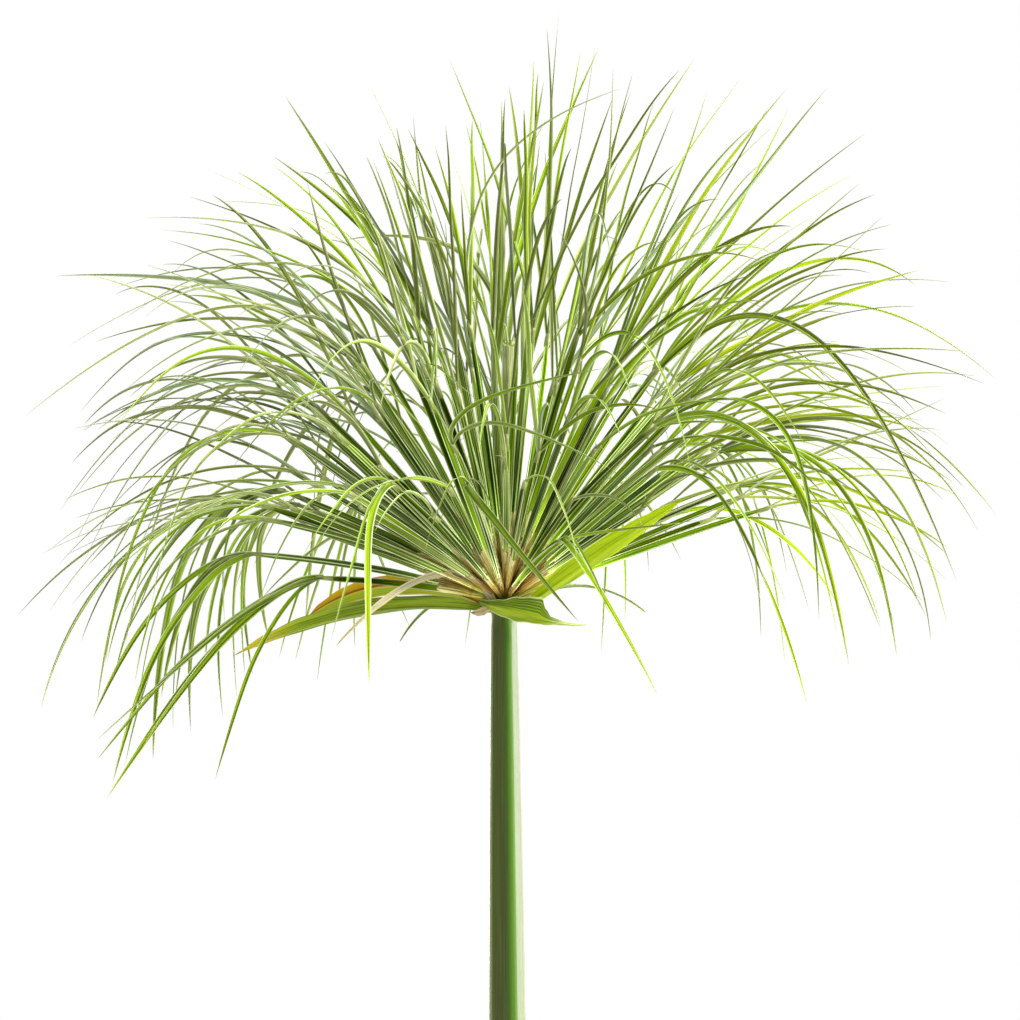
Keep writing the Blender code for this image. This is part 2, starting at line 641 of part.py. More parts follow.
def make_bract(bract, rings, tip_point):
    """A broad leaf, folded along its rib and closed to a point."""
    builder = loft(rings, cap_end=False)
    builder.verts.ensure_lookup_table()
    last = builder.verts[-4:]
    tip = builder.verts.new(tip_point)
    for i in range(4):
        builder.faces.new((last[i], last[(i + 1) % 4], tip))
    return add_object(bract.name, builder, finish(bract.name + "_leaf", bract.colour, 0.5))


def ray_colour(ray):
    """Grey-green on the left, yellow-green on the right, cooler at the back."""
    warmth = max(0.0, min(1.0, 0.5 + ray.fork[0] / UMBEL_WIDTH))
    colour = Vector(SHADED_GREEN).lerp(Vector(SUNNY_GREEN), warmth)
    return tuple(colour.lerp(Vector(BACK_GREEN), 0.5)) if ray.depth > BACK_DEPTH else tuple(colour)


def main():
    """Build the whole plant in its pot."""
    clear_scene()
    make_pot()
    make_soil()
    make_culm()
    make_sheath("basal_sheath_inner", INNER_SHEATH_HEIGHT, GAP, math.radians(200.0), (0.30, 0.19, 0.09))
    make_sheath("basal_sheath_outer", OUTER_SHEATH_HEIGHT, GAP * 2.0 + SHEATH_WALL,
                math.radians(20.0), (0.22, 0.13, 0.06))
    obstacles = []
    for bract in BRACTS:
        rings, tip = bract_rings(bract)
        make_bract(bract, rings, tip)
        obstacles += bract_points(rings)
    for number, (ray, plan) in enumerate(zip(RAYS, plan_rays(obstacles)), start=1):
        make_ray(f"ray_{number:02d}", plan, [leaflet[3] for leaflet in ray.leaflets], ray_colour(ray))


main()
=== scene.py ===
"""A potted papyrus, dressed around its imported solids.

One three-sided culm stands in a plain clay pot and carries a round head of thin rays. Each ray
leaves the crown in a papery sheath, ends in a pale node, and forks there into long folded leaflets.
Broad bracts lie in a ring below the head. Everything is in metres, +Z is up, and +Y is away from
the viewer who faces the plant.
"""

import logging
import math
import random
from dataclasses import dataclass, field, replace
from enum import Enum
from typing import Iterable, Iterator, Optional, Sequence

import bmesh
import bpy
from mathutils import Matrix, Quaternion, Vector, kdtree, noise


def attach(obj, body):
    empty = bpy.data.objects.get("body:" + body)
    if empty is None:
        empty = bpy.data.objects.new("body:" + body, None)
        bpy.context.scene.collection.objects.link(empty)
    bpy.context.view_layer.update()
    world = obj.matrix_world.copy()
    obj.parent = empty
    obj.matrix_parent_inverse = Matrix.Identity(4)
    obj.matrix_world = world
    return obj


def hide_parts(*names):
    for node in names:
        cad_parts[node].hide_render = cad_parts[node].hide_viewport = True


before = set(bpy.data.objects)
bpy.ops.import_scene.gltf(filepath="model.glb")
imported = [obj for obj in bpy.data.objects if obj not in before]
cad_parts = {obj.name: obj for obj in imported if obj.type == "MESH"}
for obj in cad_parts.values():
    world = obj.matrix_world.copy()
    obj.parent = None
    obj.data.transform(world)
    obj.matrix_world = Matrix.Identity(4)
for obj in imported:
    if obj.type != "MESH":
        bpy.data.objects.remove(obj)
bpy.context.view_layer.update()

LOG = logging.getLogger("papyrus")
BODY = "root"

Colour = tuple[float, float, float]
Spot = tuple[float, float, float]
Stops = tuple[tuple[float, float], ...]
Leaflet = tuple[float, float, float, float]
Material = bpy.types.Material
Piece = bpy.types.Object
Socket = bpy.types.NodeSocket

MM = 0.001
GAP = 0.0003
TURN = 2.0 * math.pi
ANY_TURN = (0.0, 6.28)
UP = Vector((0.0, 0.0, 1.0))
AWAY = Vector((0.0, 1.0, 0.0))

# Blender's vector noise, which the leaflets waver by, starts from the clock unless it has a seed
NOISE_SEED = 7
noise.seed_set(NOISE_SEED)

CROWN = Vector((-0.006, 0.0, 0.800))
SOIL_TOP = 0.176
STEM_FOOT = SOIL_TOP - 0.036
POT_FLOOR = 0.010
POT_INSIDE = (0.0694, 0.096)
POT_INSIDE_HEIGHT = 0.187

# The eye that the places in the head are given for: millimetres from the crown
EYE_DISTANCE = 1700.0
EYE_SIDE = 2.5
EYE_RISE = 44.0


class Slot(Enum):
    """The record's material slots."""

    POT = "pot"
    SOIL = "soil"
    CULM = "culm"
    HUSK = "husk"
    BRACT = "bract"
    DRY_BRACT = "dry_bract"
    RAYS = "rays"


class Skin(Enum):
    """The surfaces of a ray, by the place of their material on the piece."""

    STALK = 0
    LEAFLET = 1
    SHEATH = 2
    NODE = 3


class Value(Enum):
    """The numbers that each vertex of a strand carries for its finish to read.

    ALONG is 0 at its foot to 1 at its tip, ACROSS is 0 on its middle line to 1 or -1 at an edge,
    TINT is the same all over one strand, and WARMTH is 0 for grey-green to 1 for yellow-green.
    """

    ALONG = "along"
    ACROSS = "across"
    TINT = "tint"
    WARMTH = "warmth"


# Small helpers for curves and numbers


def mix(low: float, high: float, share: float) -> float:
    """The number a share of the way from low to high."""
    return low + (high - low) * share


def clamp(value: float, low: float = 0.0, high: float = 1.0) -> float:
    """The value, kept between low and high."""
    return max(low, min(high, value))


def between(stops: Stops, share: float) -> float:
    """Read a number off a row of (share, number) stops.

    Args:
        stops: pairs in rising order of share.
        share: where to read.

    Returns:
        The number there, eased between its two stops.
    """
    for (low, first), (high, second) in zip(stops, stops[1:]):
        if share <= high:
            part = clamp((share - low) / (high - low))
            return mix(first, second, part * part * (3.0 - 2.0 * part))
    return stops[-1][1]


def polar(radius: float, turn: float) -> tuple[float, float]:
    """The two sides of a point at a radius and a turn."""
    return radius * math.cos(turn), radius * math.sin(turn)


def outwards(turn: float) -> Vector:
    """The level direction at a turn."""
    return Vector((*polar(1.0, turn), 0.0))


def around(side: Vector, over: Vector, turn: float) -> Vector:
    """The direction at a turn from one direction towards another."""
    return side * math.cos(turn) + over * math.sin(turn)


def squared(side: Vector, heading: Vector) -> Vector:
    """The side vector, turned square to the heading."""
    return (side - heading * side.dot(heading)).normalized()


def headings(line: Sequence[Vector]) -> list[Vector]:
    """The unit direction of a line at each of its points."""
    last = len(line) - 1
    return [(line[min(i + 1, last)] - line[max(i - 1, 0)]).normalized() for i in range(last + 1)]


def seen_at(across: float, up: float, depth: float) -> Vector:
    """The point that is seen at a place beside the crown.

    Args:
        across: millimetres to the right, as seen at the crown's distance.
        up: millimetres upwards, as seen at the crown's distance.
        depth: millimetres behind the crown.

    Returns:
        The point in space, in metres.
    """
    grow = 1.0 + depth / EYE_DISTANCE
    side = EYE_SIDE + (across - EYE_SIDE) * grow
    rise = EYE_RISE + (up - EYE_RISE) * grow
    return CROWN + Vector((side, depth, rise)) * MM


@dataclass(frozen=True)
class Bow:
    """A curve that leaves start towards bend and arrives at end."""

    start: Vector
    bend: Vector
    end: Vector

    def point(self, share: float) -> Vector:
        """The curve's point at a share of its run."""
        rest = 1.0 - share
        return self.start * (rest * rest) + self.bend * (2.0 * rest * share) + self.end * (share * share)

    def points(self, steps: int) -> list[Vector]:
        """Evenly stepped points of the curve, both ends included."""
        return [self.point(step / steps) for step in range(steps + 1)]


# Making meshes and seating pieces


def stand(name: str, data: bpy.types.ID) -> Piece:
    """Link a new object to the scene."""
    item = bpy.data.objects.new(name, data)
    bpy.context.scene.collection.objects.link(item)
    return item


@dataclass
class Draft:
    """The vertices, faces and surface numbers of a piece, gathered before its mesh is made."""

    points: list[Vector] = field(default_factory=list)
    faces: list[tuple[int, ...]] = field(default_factory=list)
    skins: list[int] = field(default_factory=list)
    cells: list[tuple[float, float]] = field(default_factory=list)
    columns: int = 0
    values: dict[Value, list[float]] = field(default_factory=lambda: {value: [] for value in Value})

    def vertex(self, point: Vector, *numbers: float) -> int:
        """Add a vertex.

        Args:
            point: its place.
            numbers: its surface numbers in the order of Value; a piece without strands has none.

        Returns:
            The vertex's number.
        """
        self.points.append(point)
        for value, number in zip(Value, numbers):
            self.values[value].append(number)
        return len(self.points) - 1

    def face(self, corners: Iterable[int], skin: int = 0, cell: Iterable[tuple[float, float]] = ()) -> None:
        """Add a face with its material's place and its corners' places on the flat map."""
        self.faces.append(tuple(corners))
        self.skins.append(skin)
        self.cells += cell

    def join(self, rows: Sequence[Sequence[int]]) -> None:
        """Join each row of vertices to the next; a row of one vertex, repeated, makes a fan."""
        for low, high in zip(rows, rows[1:]):
            for near, far in ((side, (side + 1) % len(low)) for side in range(len(low))):
                self.face(dict.fromkeys((low[near], low[far], high[far], high[near])))

    def strand(self, rings: Sequence[Sequence[Vector]], skin: int, along: Sequence[float],
               across: Sequence[float], tint: float = 0.5, warmth: float = 0.5,
               tip: Optional[Vector] = None, foot: Optional[Vector] = None, ringed: bool = False) -> None:
        """Add a closed tube through rings of points.

        Args:
            rings: the sections, each with as many points.
            skin: the place of its material.
            along: each ring's first surface number.
            across: the second surface number of each point of a ring.
            tint: the third surface number.
            warmth: the fourth surface number.
            tip: a point that closes the last ring; without it a flat face does.
            foot: a point that closes the first ring; without it a flat face does.
            ringed: whether the last ring is joined to the first, and neither is closed.
        """
        count, last = len(rings[0]), len(rings) - 1
        made = [[self.vertex(point, along[i], across[j], tint, warmth) for j, point in enumerate(ring)]
                for i, ring in enumerate(rings)]

        def cell(ring: float, place: float) -> tuple[float, float]:
            """The place on the flat map of a place on a ring."""
            return self.columns + place, (ring + 1.0) / (last + 2.0)

        for i in range(last + ringed):
            low, high = made[i], made[(i + 1) % (last + 1)]
            for j in range(count):
                k = (j + 1) % count
                self.face((low[j], low[k], high[k], high[j]), skin,
                          (cell(i, j), cell(i, j + 1), cell(i + 1, j + 1), cell(i + 1, j)))
        for ring, end, closer in () if ringed else ((0, -1, foot), (last, last + 1, tip)):
            row = made[ring]
            if closer is None:
                middle = 0.5 * (ring + end)
                places = [cell(middle, 0.5 + 0.4 * math.cos(TURN * j / count)) for j in range(count)]
                self.face(row if ring else row[::-1], skin, places)
                continue
            apex = self.vertex(closer, along[ring], 0.0, tint, warmth)
            for j in range(count):
                first, second = (j, j + 1) if ring else (j + 1, j)
                self.face((row[first % count], row[second % count], apex), skin,
                          (cell(ring, first), cell(ring, second), cell(end, j + 0.5)))
        self.columns += count

    def piece(self, name: str, materials: Sequence[Material], sharp: float = 35.0) -> Piece:
        """Make the mesh and its object.

        Args:
            name: the object's name.
            materials: its materials, in the order of the skins.
            sharp: the angle in degrees from which an edge shows as a crease.

        Returns:
            The object, linked to the scene.
        """
        mesh = bpy.data.meshes.new(name)
        mesh.from_pydata(self.points, [], self.faces)
        if self.cells:
            for value, numbers in self.values.items():
                mesh.attributes.new(value.value, "FLOAT", "POINT").data.foreach_set("value", numbers)
            flat = [number for u, v in self.cells for number in (u / self.columns, v)]
            mesh.uv_layers.new(name="OFBake").data.foreach_set("uv", flat)
        mesh.polygons.foreach_set("material_index", self.skins)
        for material in materials:
            mesh.materials.append(material)
        builder = bmesh.new()
        builder.from_mesh(mesh)
        bmesh.ops.recalc_face_normals(builder, faces=builder.faces)
        builder.to_mesh(mesh)
        builder.free()
        mesh.shade_smooth()
        mesh.set_sharp_from_angle(angle=math.radians(sharp))
        return stand(name, mesh)


def place(item: Piece, slot: Slot, *nodes: str) -> None:
    """Seat a piece on the plant and report it.

    Args:
        item: the piece.
        slot: the record's slot for the piece; not used.
        nodes: the solids that it stands for.
    """
    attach(item, BODY)
    if nodes:
        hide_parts(*nodes)
    LOG.info("%s: %d faces", item.name, len(item.data.polygons))


# Finishes


class Board:
    """A material's node tree, with short ways to lay and join its nodes."""

    def __init__(self, name: str) -> None:
        """Start a material with an empty tree.

        Args:
            name: the material's name.
        """
        self.material = bpy.data.materials.new(name)
        self.material.use_nodes = True
        self.tree = self.material.node_tree
        self.tree.nodes.clear()

    def node(self, kind: str, feeds: dict[object, object], out: object = 0, **settings: object) -> Socket:
        """Lay a node and feed it.

        Args:
            kind: Blender's name for it, less its first words.
            feeds: a socket, number or colour for each of its inputs, by the input's name or place.
            out: the name or place of the output that is asked for.
            settings: its plain properties.

        Returns:
            The output.
        """
        made = self.tree.nodes.new("ShaderNode" + kind)
        for name, value in settings.items():
            setattr(made, name, value)
        for which, value in feeds.items():
            socket = made.inputs[which]
            if isinstance(value, Socket):
                self.tree.links.new(value, socket)
            else:
                socket.default_value = (*value, 1.0) if socket.type == "RGBA" else value
        return made.outputs[out]

    def value(self, which: Value) -> Socket:
        """One of the numbers that the vertices carry."""
        return self.node("Attribute", {}, "Fac", attribute_name=which.value)

    def spot(self) -> Socket:
        """The place on the piece, in metres."""
        return self.node("TexCoord", {}, "Object")

    def height(self) -> Socket:
        """The height of the place on the piece, in metres."""
        return self.node("SeparateXYZ", {0: self.spot()}, 2)

    def sum(self, operation: str, first: object, second: object = 0.0) -> Socket:
        """A sum of two numbers, by Blender's name for it."""
        return self.node("Math", {0: first, 1: second}, operation=operation)

    def times(self, first: object, second: object) -> Socket:
        """Two numbers, multiplied."""
        return self.sum("MULTIPLY", first, second)

    def size(self, value: Socket) -> Socket:
        """A number without its sign."""
        return self.sum("ABSOLUTE", value)

    def grain(self, vector: Socket, scale: float, detail: float, rough: float) -> Socket:
        """Soft noise over a vector, about 0 to 1."""
        feeds = {"Vector": vector, "Scale": scale, "Detail": detail, "Roughness": rough}
        return self.node("TexNoise", feeds, "Fac")

    def speckle(self, scale: float, detail: float, rough: float = 0.5,
                stretch: Spot = (1.0, 1.0, 1.0)) -> Socket:
        """Soft noise over the place on the piece, its axes scaled by three numbers."""
        spot = self.node("Mapping", {"Vector": self.spot(), "Scale": stretch})
        return self.grain(spot, scale, detail, rough)

    def streaks(self, across: float, along: float, apart: object, scale: float, detail: float,
                rough: float = 0.5) -> Socket:
        """Soft noise that is drawn out along a strand.

        Args:
            across: how fast it changes across the strand.
            along: how fast it changes along the strand.
            apart: what sets one strand's noise apart from another's.
            scale: the noise's scale.
            detail: its detail.
            rough: its roughness.

        Returns:
            The noise, about 0 to 1.
        """
        rates = ((Value.ACROSS, across), (Value.ALONG, along))
        x, y = (self.times(self.value(which), rate) for which, rate in rates)
        return self.grain(self.node("CombineXYZ", {0: x, 1: y, 2: apart}), scale, detail, rough)

    def span(self, value: Socket, low: float, high: float, start: float = 0.0, end: float = 1.0) -> Socket:
        """A number's range from low to high, stretched to start to end and kept inside it."""
        limits = {"Value": value, "From Min": low, "From Max": high, "To Min": start, "To Max": end}
        return self.node("MapRange", limits, "Result", interpolation_type="SMOOTHSTEP")

    def blend(self, share: object, first: object, second: object, way: str = "MIX") -> Socket:
        """Two colours, blended by a share."""
        return self.node("Mix", {0: share, 6: first, 7: second}, 2, data_type="RGBA", blend_type=way)

    def coats(self, colour: object, *layers: tuple[object, object]) -> object:
        """A colour with others laid over it in turn, each given as its share and its colour."""
        for share, over in layers:
            colour = self.blend(share, colour, over)
        return colour

    def lit(self, colour: object, bright: Socket) -> Socket:
        """A colour, multiplied by a number."""
        return self.blend(1.0, colour, self.node("CombineXYZ", {0: bright, 1: bright, 2: bright}), "MULTIPLY")

    def bump(self, height: Socket, distance: float, strength: float) -> Socket:
        """A normal that a height raises by a distance in metres."""
        return self.node("Bump", {"Height": height, "Distance": distance, "Strength": strength})

    def surface(self, colour: object, roughness: object, specular: float, normal: Optional[Socket] = None,
                glow: float = 0.0) -> Material:
        """Close the tree with a surface.

        Args:
            colour: the base colour, and that of the light that comes through.
            roughness: the roughness.
            specular: the specular level.
            normal: a bumped normal.
            glow: the share of light that comes through a thin leaf.

        Returns:
            The finished material.
        """
        feeds = {"Base Color": colour, "Roughness": roughness, "Specular IOR Level": specular}
        skin = self.node("BsdfPrincipled", feeds if normal is None else feeds | {"Normal": normal})
        if glow > 0.0:
            through = self.node("BsdfTranslucent", {"Color": colour})
            skin = self.node("MixShader", {0: glow, 1: skin, 2: through})
        self.tree.links.new(skin, self.tree.nodes.new("ShaderNodeOutputMaterial").inputs["Surface"])
        return self.material


@dataclass(frozen=True)
class BladeFinish:
    """The skin of a stalk or leaflet: greens by warmth, dark streaks that partly paint shade, fine pale
    lines, pale edges that partly paint highlights, and painted light at the foot.
    """

    name: str
    cool: Colour
    grey: Colour
    fresh: Colour
    yellow: Colour
    deep: Colour
    edge: Colour
    tip: Colour
    foot: Colour
    olive: Colour
    edge_from: float
    tip_from: float
    roughness: float
    glow: float
    foot_share: float = 0.0
    foot_end: float = 0.34
    painted_foot_light: float = 1.0
    line_share: float = 0.5
    pale_edge_and_highlight_share: float = 0.9
    dark_and_painted_shade_share: float = 0.92
    olive_share: float = 0.0
    ripening: float = 0.0
    specular: float = 0.08
    brightness: tuple[float, float] = (0.64, 1.24)
    apart: float = 37.0

    def material(self) -> Material:
        """Build the material.

        Returns:
            The material.
        """
        board = Board(self.name)
        along, tint = board.value(Value.ALONG), board.value(Value.TINT)
        warmth = board.sum("ADD", board.value(Value.WARMTH), board.times(along, self.ripening))
        broad = board.streaks(0.9, 0.8, board.times(tint, self.apart), 2.0, 2.0)
        fine = board.streaks(2.6, 0.3, board.times(tint, self.apart), 2.0, 1.0)
        # Pale edges: partly the strand's pale margins, partly painted highlights in place of a specular shine
        pale_edges_and_highlights = board.span(board.size(board.value(Value.ACROSS)), self.edge_from, 1.0, 0.0, self.pale_edge_and_highlight_share)
        green = board.coats(
            self.cool,
            (board.span(warmth, 0.0, 0.34), self.grey),
            (board.span(warmth, 0.40, 0.64), self.fresh),
            (board.span(warmth, 0.68, 1.0), self.yellow),
            (board.span(tint, 0.10, 0.24, self.olive_share, 0.0), self.olive),
            # Broad dark streaks: partly the strand's own darker tone, partly painted shade of its fold and of
            # the crowded head
            (board.span(broad, 0.44, 0.60, 0.0, self.dark_and_painted_shade_share), self.deep),
            (board.span(fine, 0.60, 0.70, 0.0, self.line_share), self.edge),
            (pale_edges_and_highlights, self.edge),
            (board.span(along, 0.08, self.foot_end, self.foot_share, 0.0), self.foot),
            (board.span(along, self.tip_from, 1.0, 0.0, 0.8), self.tip))
        # Painted light: brighter towards the foot, against the shade among the crowded stalks at the crown
        painted_foot_light = board.span(along, 0.12, 0.50, self.painted_foot_light, 1.0)
        bright = board.times(board.span(tint, 0.0, 1.0, *self.brightness), painted_foot_light)
        rough = board.span(broad, 0.3, 0.8, self.roughness - 0.08, self.roughness + 0.12)
        relief = board.bump(fine, 0.00004, 0.4)
        return board.surface(board.lit(green, bright), rough, self.specular, relief, self.glow)


@dataclass(frozen=True)
class PaperFinish:
    """Dry papery skin: fibres along it, dark at the foot and pale at the mouth."""

    name: str
    foot: Colour
    middle: Colour
    mouth: Colour
    fibre: Colour
    fresh: Colour = (0.520, 0.600, 0.120)
    fresh_share: float = 0.0
    roughness: float = 0.62
    glow: float = 0.12
    specular: float = 0.15
    brightness: tuple[float, float] = (0.72, 1.2)
    apart: float = 53.0

    def material(self) -> Material:
        """Build the material.

        Returns:
            The material.
        """
        board = Board(self.name)
        along, tint = board.value(Value.ALONG), board.value(Value.TINT)
        fibres = board.streaks(2.4, 0.5, board.times(tint, self.apart), 3.0, 3.0, 0.6)
        colour = board.coats(
            self.foot,
            (board.span(along, 0.0, 0.45), self.middle),
            (board.span(tint, 0.50, 0.75, 0.0, self.fresh_share), self.fresh),
            (board.span(along, 0.45, 1.0), self.mouth),
            (board.span(fibres, 0.46, 0.60, 0.0, 0.8), self.fibre),
            (board.span(board.speckle(190.0, 3.0), 0.52, 0.75, 0.0, 0.5), self.foot))
        colour = board.lit(colour, board.span(tint, 0.0, 1.0, *self.brightness))
        rough = board.span(fibres, 0.3, 0.8, self.roughness - 0.1, self.roughness + 0.15)
        return board.surface(colour, rough, self.specular, board.bump(fibres, 0.00006, 0.6), self.glow)


@dataclass(frozen=True)
class BractFinish:
    """A broad leaf: parallel veins over two greens, a pale rim, a stripe by the rib and an aged tip."""

    name: str
    green: Colour
    light: Colour
    vein: Colour
    rim: Colour
    stripe: Colour
    tip: Colour
    half: Colour = (0.0, 0.0, 0.0)
    half_share: float = 0.0
    half_from: float = -0.10
    veins: float = 15.0
    vein_share: float = 0.75
    stripe_share: float = 0.0
    tip_from: float = 0.8
    glow: float = 0.3

    def material(self) -> Material:
        """Build the material.

        Returns:
            The material.
        """
        board = Board(self.name)
        along, across = board.value(Value.ALONG), board.value(Value.ACROSS)
        drift = board.streaks(1.6, 1.2, 0.0, 2.0, 3.0)
        fine = board.streaks(12.0, 0.8, 0.3, 1.0, 2.0)
        waver = board.sum("ADD", board.times(across, self.veins), board.times(drift, 2.2))
        lines = board.size(board.sum("SINE", waver))
        beside = board.size(board.sum("SUBTRACT", across, self.half_from - 0.12))
        aged = board.sum("ADD", along, board.times(board.sum("SUBTRACT", drift, 0.5), 0.30))
        colour = board.coats(
            self.green,
            (board.span(drift, 0.36, 0.64), self.light),
            # The half colour: a real green half on the amber leaf, painted shade on the front leaf's upper
            # half
            (board.span(across, self.half_from, self.half_from + 0.25, 0.0, self.half_share), self.half),
            (board.span(lines, 0.60, 1.0, 0.0, self.vein_share), self.vein),
            (board.span(fine, 0.52, 0.70, 0.0, 0.45), self.green),
            (board.times(board.span(beside, 0.0, 0.24, 1.0, 0.0), self.stripe_share), self.stripe),
            (board.span(board.size(across), 0.88, 1.0), self.rim),
            (board.span(aged, self.tip_from, self.tip_from + 0.22), self.tip))
        rough = board.span(fine, 0.3, 0.8, 0.36, 0.55)
        return board.surface(colour, rough, 0.25, board.bump(lines, 0.00006, 0.6), self.glow)


@dataclass(frozen=True)
class CulmFinish:
    """The stem's rind: deep green with long striations, pale flecks and a waxy shine, with a painted
    highlight along its left corner and painted light along its front ridge.
    """

    name: str = "culm_rind"
    deep: Colour = (0.058, 0.078, 0.005)
    green: Colour = (0.080, 0.118, 0.006)
    line: Colour = (0.120, 0.165, 0.022)
    ridge_painted_light: Colour = (0.060, 0.150, 0.012)
    corner: Colour = (0.300, 0.340, 0.150)
    fleck: Colour = (0.260, 0.310, 0.120)
    foot: Colour = (0.240, 0.170, 0.070)

    def material(self) -> Material:
        """Build the material.

        Returns:
            The material.
        """
        board = Board(self.name)
        across = board.value(Value.ACROSS)
        lines = board.speckle(1500.0, 3.0, 0.65, (1.0, 1.0, 0.012))
        bands = board.speckle(330.0, 2.0, stretch=(1.0, 1.0, 0.03))
        flecks = board.speckle(620.0, 4.0, 0.75, (1.0, 1.0, 0.34))
        low = board.span(board.height(), SOIL_TOP + 0.03, SOIL_TOP + 0.16, 1.0, 0.0)
        colour = board.coats(
            self.deep,
            (board.span(bands, 0.35, 0.68), self.green),
            (board.span(lines, 0.48, 0.74, 0.0, 0.75), self.line),
            (board.span(flecks, 0.70, 0.76, 0.0, 0.6), self.fleck),
            # Painted highlight: a pale band along the left corner, where a rim of light falls
            (board.span(across, 0.1, 1.0), self.corner),
            # Painted light: a brighter green along the front ridge, where the rounded corner turns towards
            # the light
            (board.span(across, -0.1, -1.0, 0.0, 0.8), self.ridge_painted_light),
            (board.times(low, board.span(bands, 0.3, 0.6, 0.35, 0.95)), self.foot))
        rough = board.span(lines, 0.3, 0.7, 0.30, 0.42)
        return board.surface(colour, rough, 0.24, board.bump(lines, 0.00022, 0.45))


@dataclass(frozen=True)
class ClayFinish:
    """Fired clay: warm body, chalky bloom, darker damp foot and thrown rings."""

    name: str = "fired_clay"
    body: Colour = (0.290, 0.100, 0.046)
    light: Colour = (0.390, 0.160, 0.080)
    dark: Colour = (0.170, 0.055, 0.026)
    bloom: Colour = (0.440, 0.340, 0.270)

    def material(self) -> Material:
        """Build the material.

        Returns:
            The material.
        """
        board = Board(self.name)
        speck = board.speckle(900.0, 3.0, 0.6)
        rings = board.speckle(420.0, 2.0, stretch=(0.04, 0.04, 1.0))
        salt = board.speckle(42.0, 6.0, 0.68, (1.0, 1.0, 0.7))
        tide = board.span(board.height(), 0.04, 0.15, 0.25, 0.85)
        colour = board.coats(
            self.body,
            (board.span(board.speckle(16.0, 5.0, 0.6), 0.35, 0.66), self.light),
            (board.span(speck, 0.56, 0.76, 0.0, 0.5), self.dark),
            (board.span(rings, 0.5, 0.7, 0.0, 0.25), self.light),
            (board.span(board.height(), 0.0, 0.055, 0.65, 0.0), self.dark),
            (board.times(board.span(salt, 0.54, 0.74), tide), self.bloom))
        relief = board.sum("ADD", board.times(rings, 0.5), board.times(speck, 0.45))
        rough = board.span(salt, 0.3, 0.7, 0.74, 0.93)
        return board.surface(colour, rough, 0.3, board.bump(relief, 0.0004, 0.6))


@dataclass(frozen=True)
class EarthFinish:
    """Potting soil, crumbs, bark or grit: one colour family with grain and damp patches."""

    name: str
    dark: Colour
    light: Colour
    fleck: Colour
    scale: float = 260.0

    def material(self) -> Material:
        """Build the material.

        Returns:
            The material.
        """
        board = Board(self.name)
        clods, damp = board.speckle(self.scale, 6.0, 0.7), board.speckle(22.0, 3.0)
        colour = board.coats(
            self.dark,
            (board.span(clods, 0.38, 0.66), self.light),
            (board.span(damp, 0.45, 0.65, 0.0, 0.5), self.dark),
            (board.span(clods, 0.68, 0.78, 0.0, 0.7), self.fleck))
        rough = board.span(damp, 0.4, 0.6, 0.95, 0.7)
        return board.surface(colour, rough, 0.25, board.bump(clods, 0.0012, 0.8))


# The stalk has no specular shine: its pale edges partly paint its highlights, and its foot is painted lighter
STALK_FINISH = BladeFinish(
    "ray_stalk", cool=(0.108, 0.178, 0.040), grey=(0.116, 0.194, 0.012), fresh=(0.124, 0.236, 0.003),
    yellow=(0.220, 0.312, 0.002), deep=(0.013, 0.034, 0.0003), edge=(0.880, 0.940, 0.520),
    tip=(0.220, 0.310, 0.050), foot=(0.480, 0.440, 0.090), olive=(0.150, 0.160, 0.014), edge_from=0.71,
    tip_from=0.92, roughness=0.42, glow=0.06, foot_share=0.6, foot_end=0.24, painted_foot_light=4.4,
    dark_and_painted_shade_share=0.94, olive_share=0.3, specular=0.0)
LEAFLET_FINISH = BladeFinish(
    "ray_leaflet", cool=(0.340, 0.430, 0.240), grey=(0.385, 0.430, 0.160), fresh=(0.270, 0.405, 0.010),
    yellow=(0.370, 0.450, 0.010), deep=(0.088, 0.142, 0.005), edge=(0.870, 0.900, 0.680),
    tip=(0.480, 0.460, 0.100), foot=(0.360, 0.440, 0.140), olive=(0.260, 0.280, 0.040), edge_from=0.70,
    tip_from=0.93, roughness=0.40, glow=0.30, line_share=0.35, pale_edge_and_highlight_share=0.68, dark_and_painted_shade_share=0.78,
    olive_share=0.4, ripening=0.12, specular=0.03)
# Papery skins: the name, then the colours of the foot, the middle, the mouth and the fibres
SHEATH_FINISH = PaperFinish("ray_sheath", (0.160, 0.064, 0.005), (0.840, 0.580, 0.160), (0.860, 0.800, 0.380),
                            (0.180, 0.076, 0.008), fresh_share=0.8, specular=0.0)
NODE_FINISH = PaperFinish("ray_node", (0.200, 0.260, 0.050), (0.350, 0.400, 0.120), (0.600, 0.640, 0.320),
                          (0.190, 0.240, 0.060), glow=0.2)
HUSK_FINISH = PaperFinish("basal_husk", (0.070, 0.036, 0.016), (0.230, 0.130, 0.055), (0.430, 0.300, 0.150),
                          (0.100, 0.055, 0.024), roughness=0.7, glow=0.0)
RAY_FINISHES = (STALK_FINISH, LEAFLET_FINISH, SHEATH_FINISH, NODE_FINISH)
# Earths: the name, the dark, the light and the flecks, and how fine the grain is
MIX_FINISH = EarthFinish("potting_mix", (0.020, 0.012, 0.007), (0.070, 0.042, 0.024), (0.160, 0.110, 0.070))
BIT_FINISHES = (
    EarthFinish("soil_crumb", (0.024, 0.014, 0.008), (0.085, 0.052, 0.030), (0.180, 0.125, 0.080), 420.0),
    EarthFinish("bark_chips", (0.075, 0.038, 0.020), (0.170, 0.095, 0.050), (0.300, 0.200, 0.120), 500.0),
    EarthFinish("white_grit", (0.520, 0.500, 0.450), (0.800, 0.780, 0.730), (0.860, 0.850, 0.820), 700.0),
)
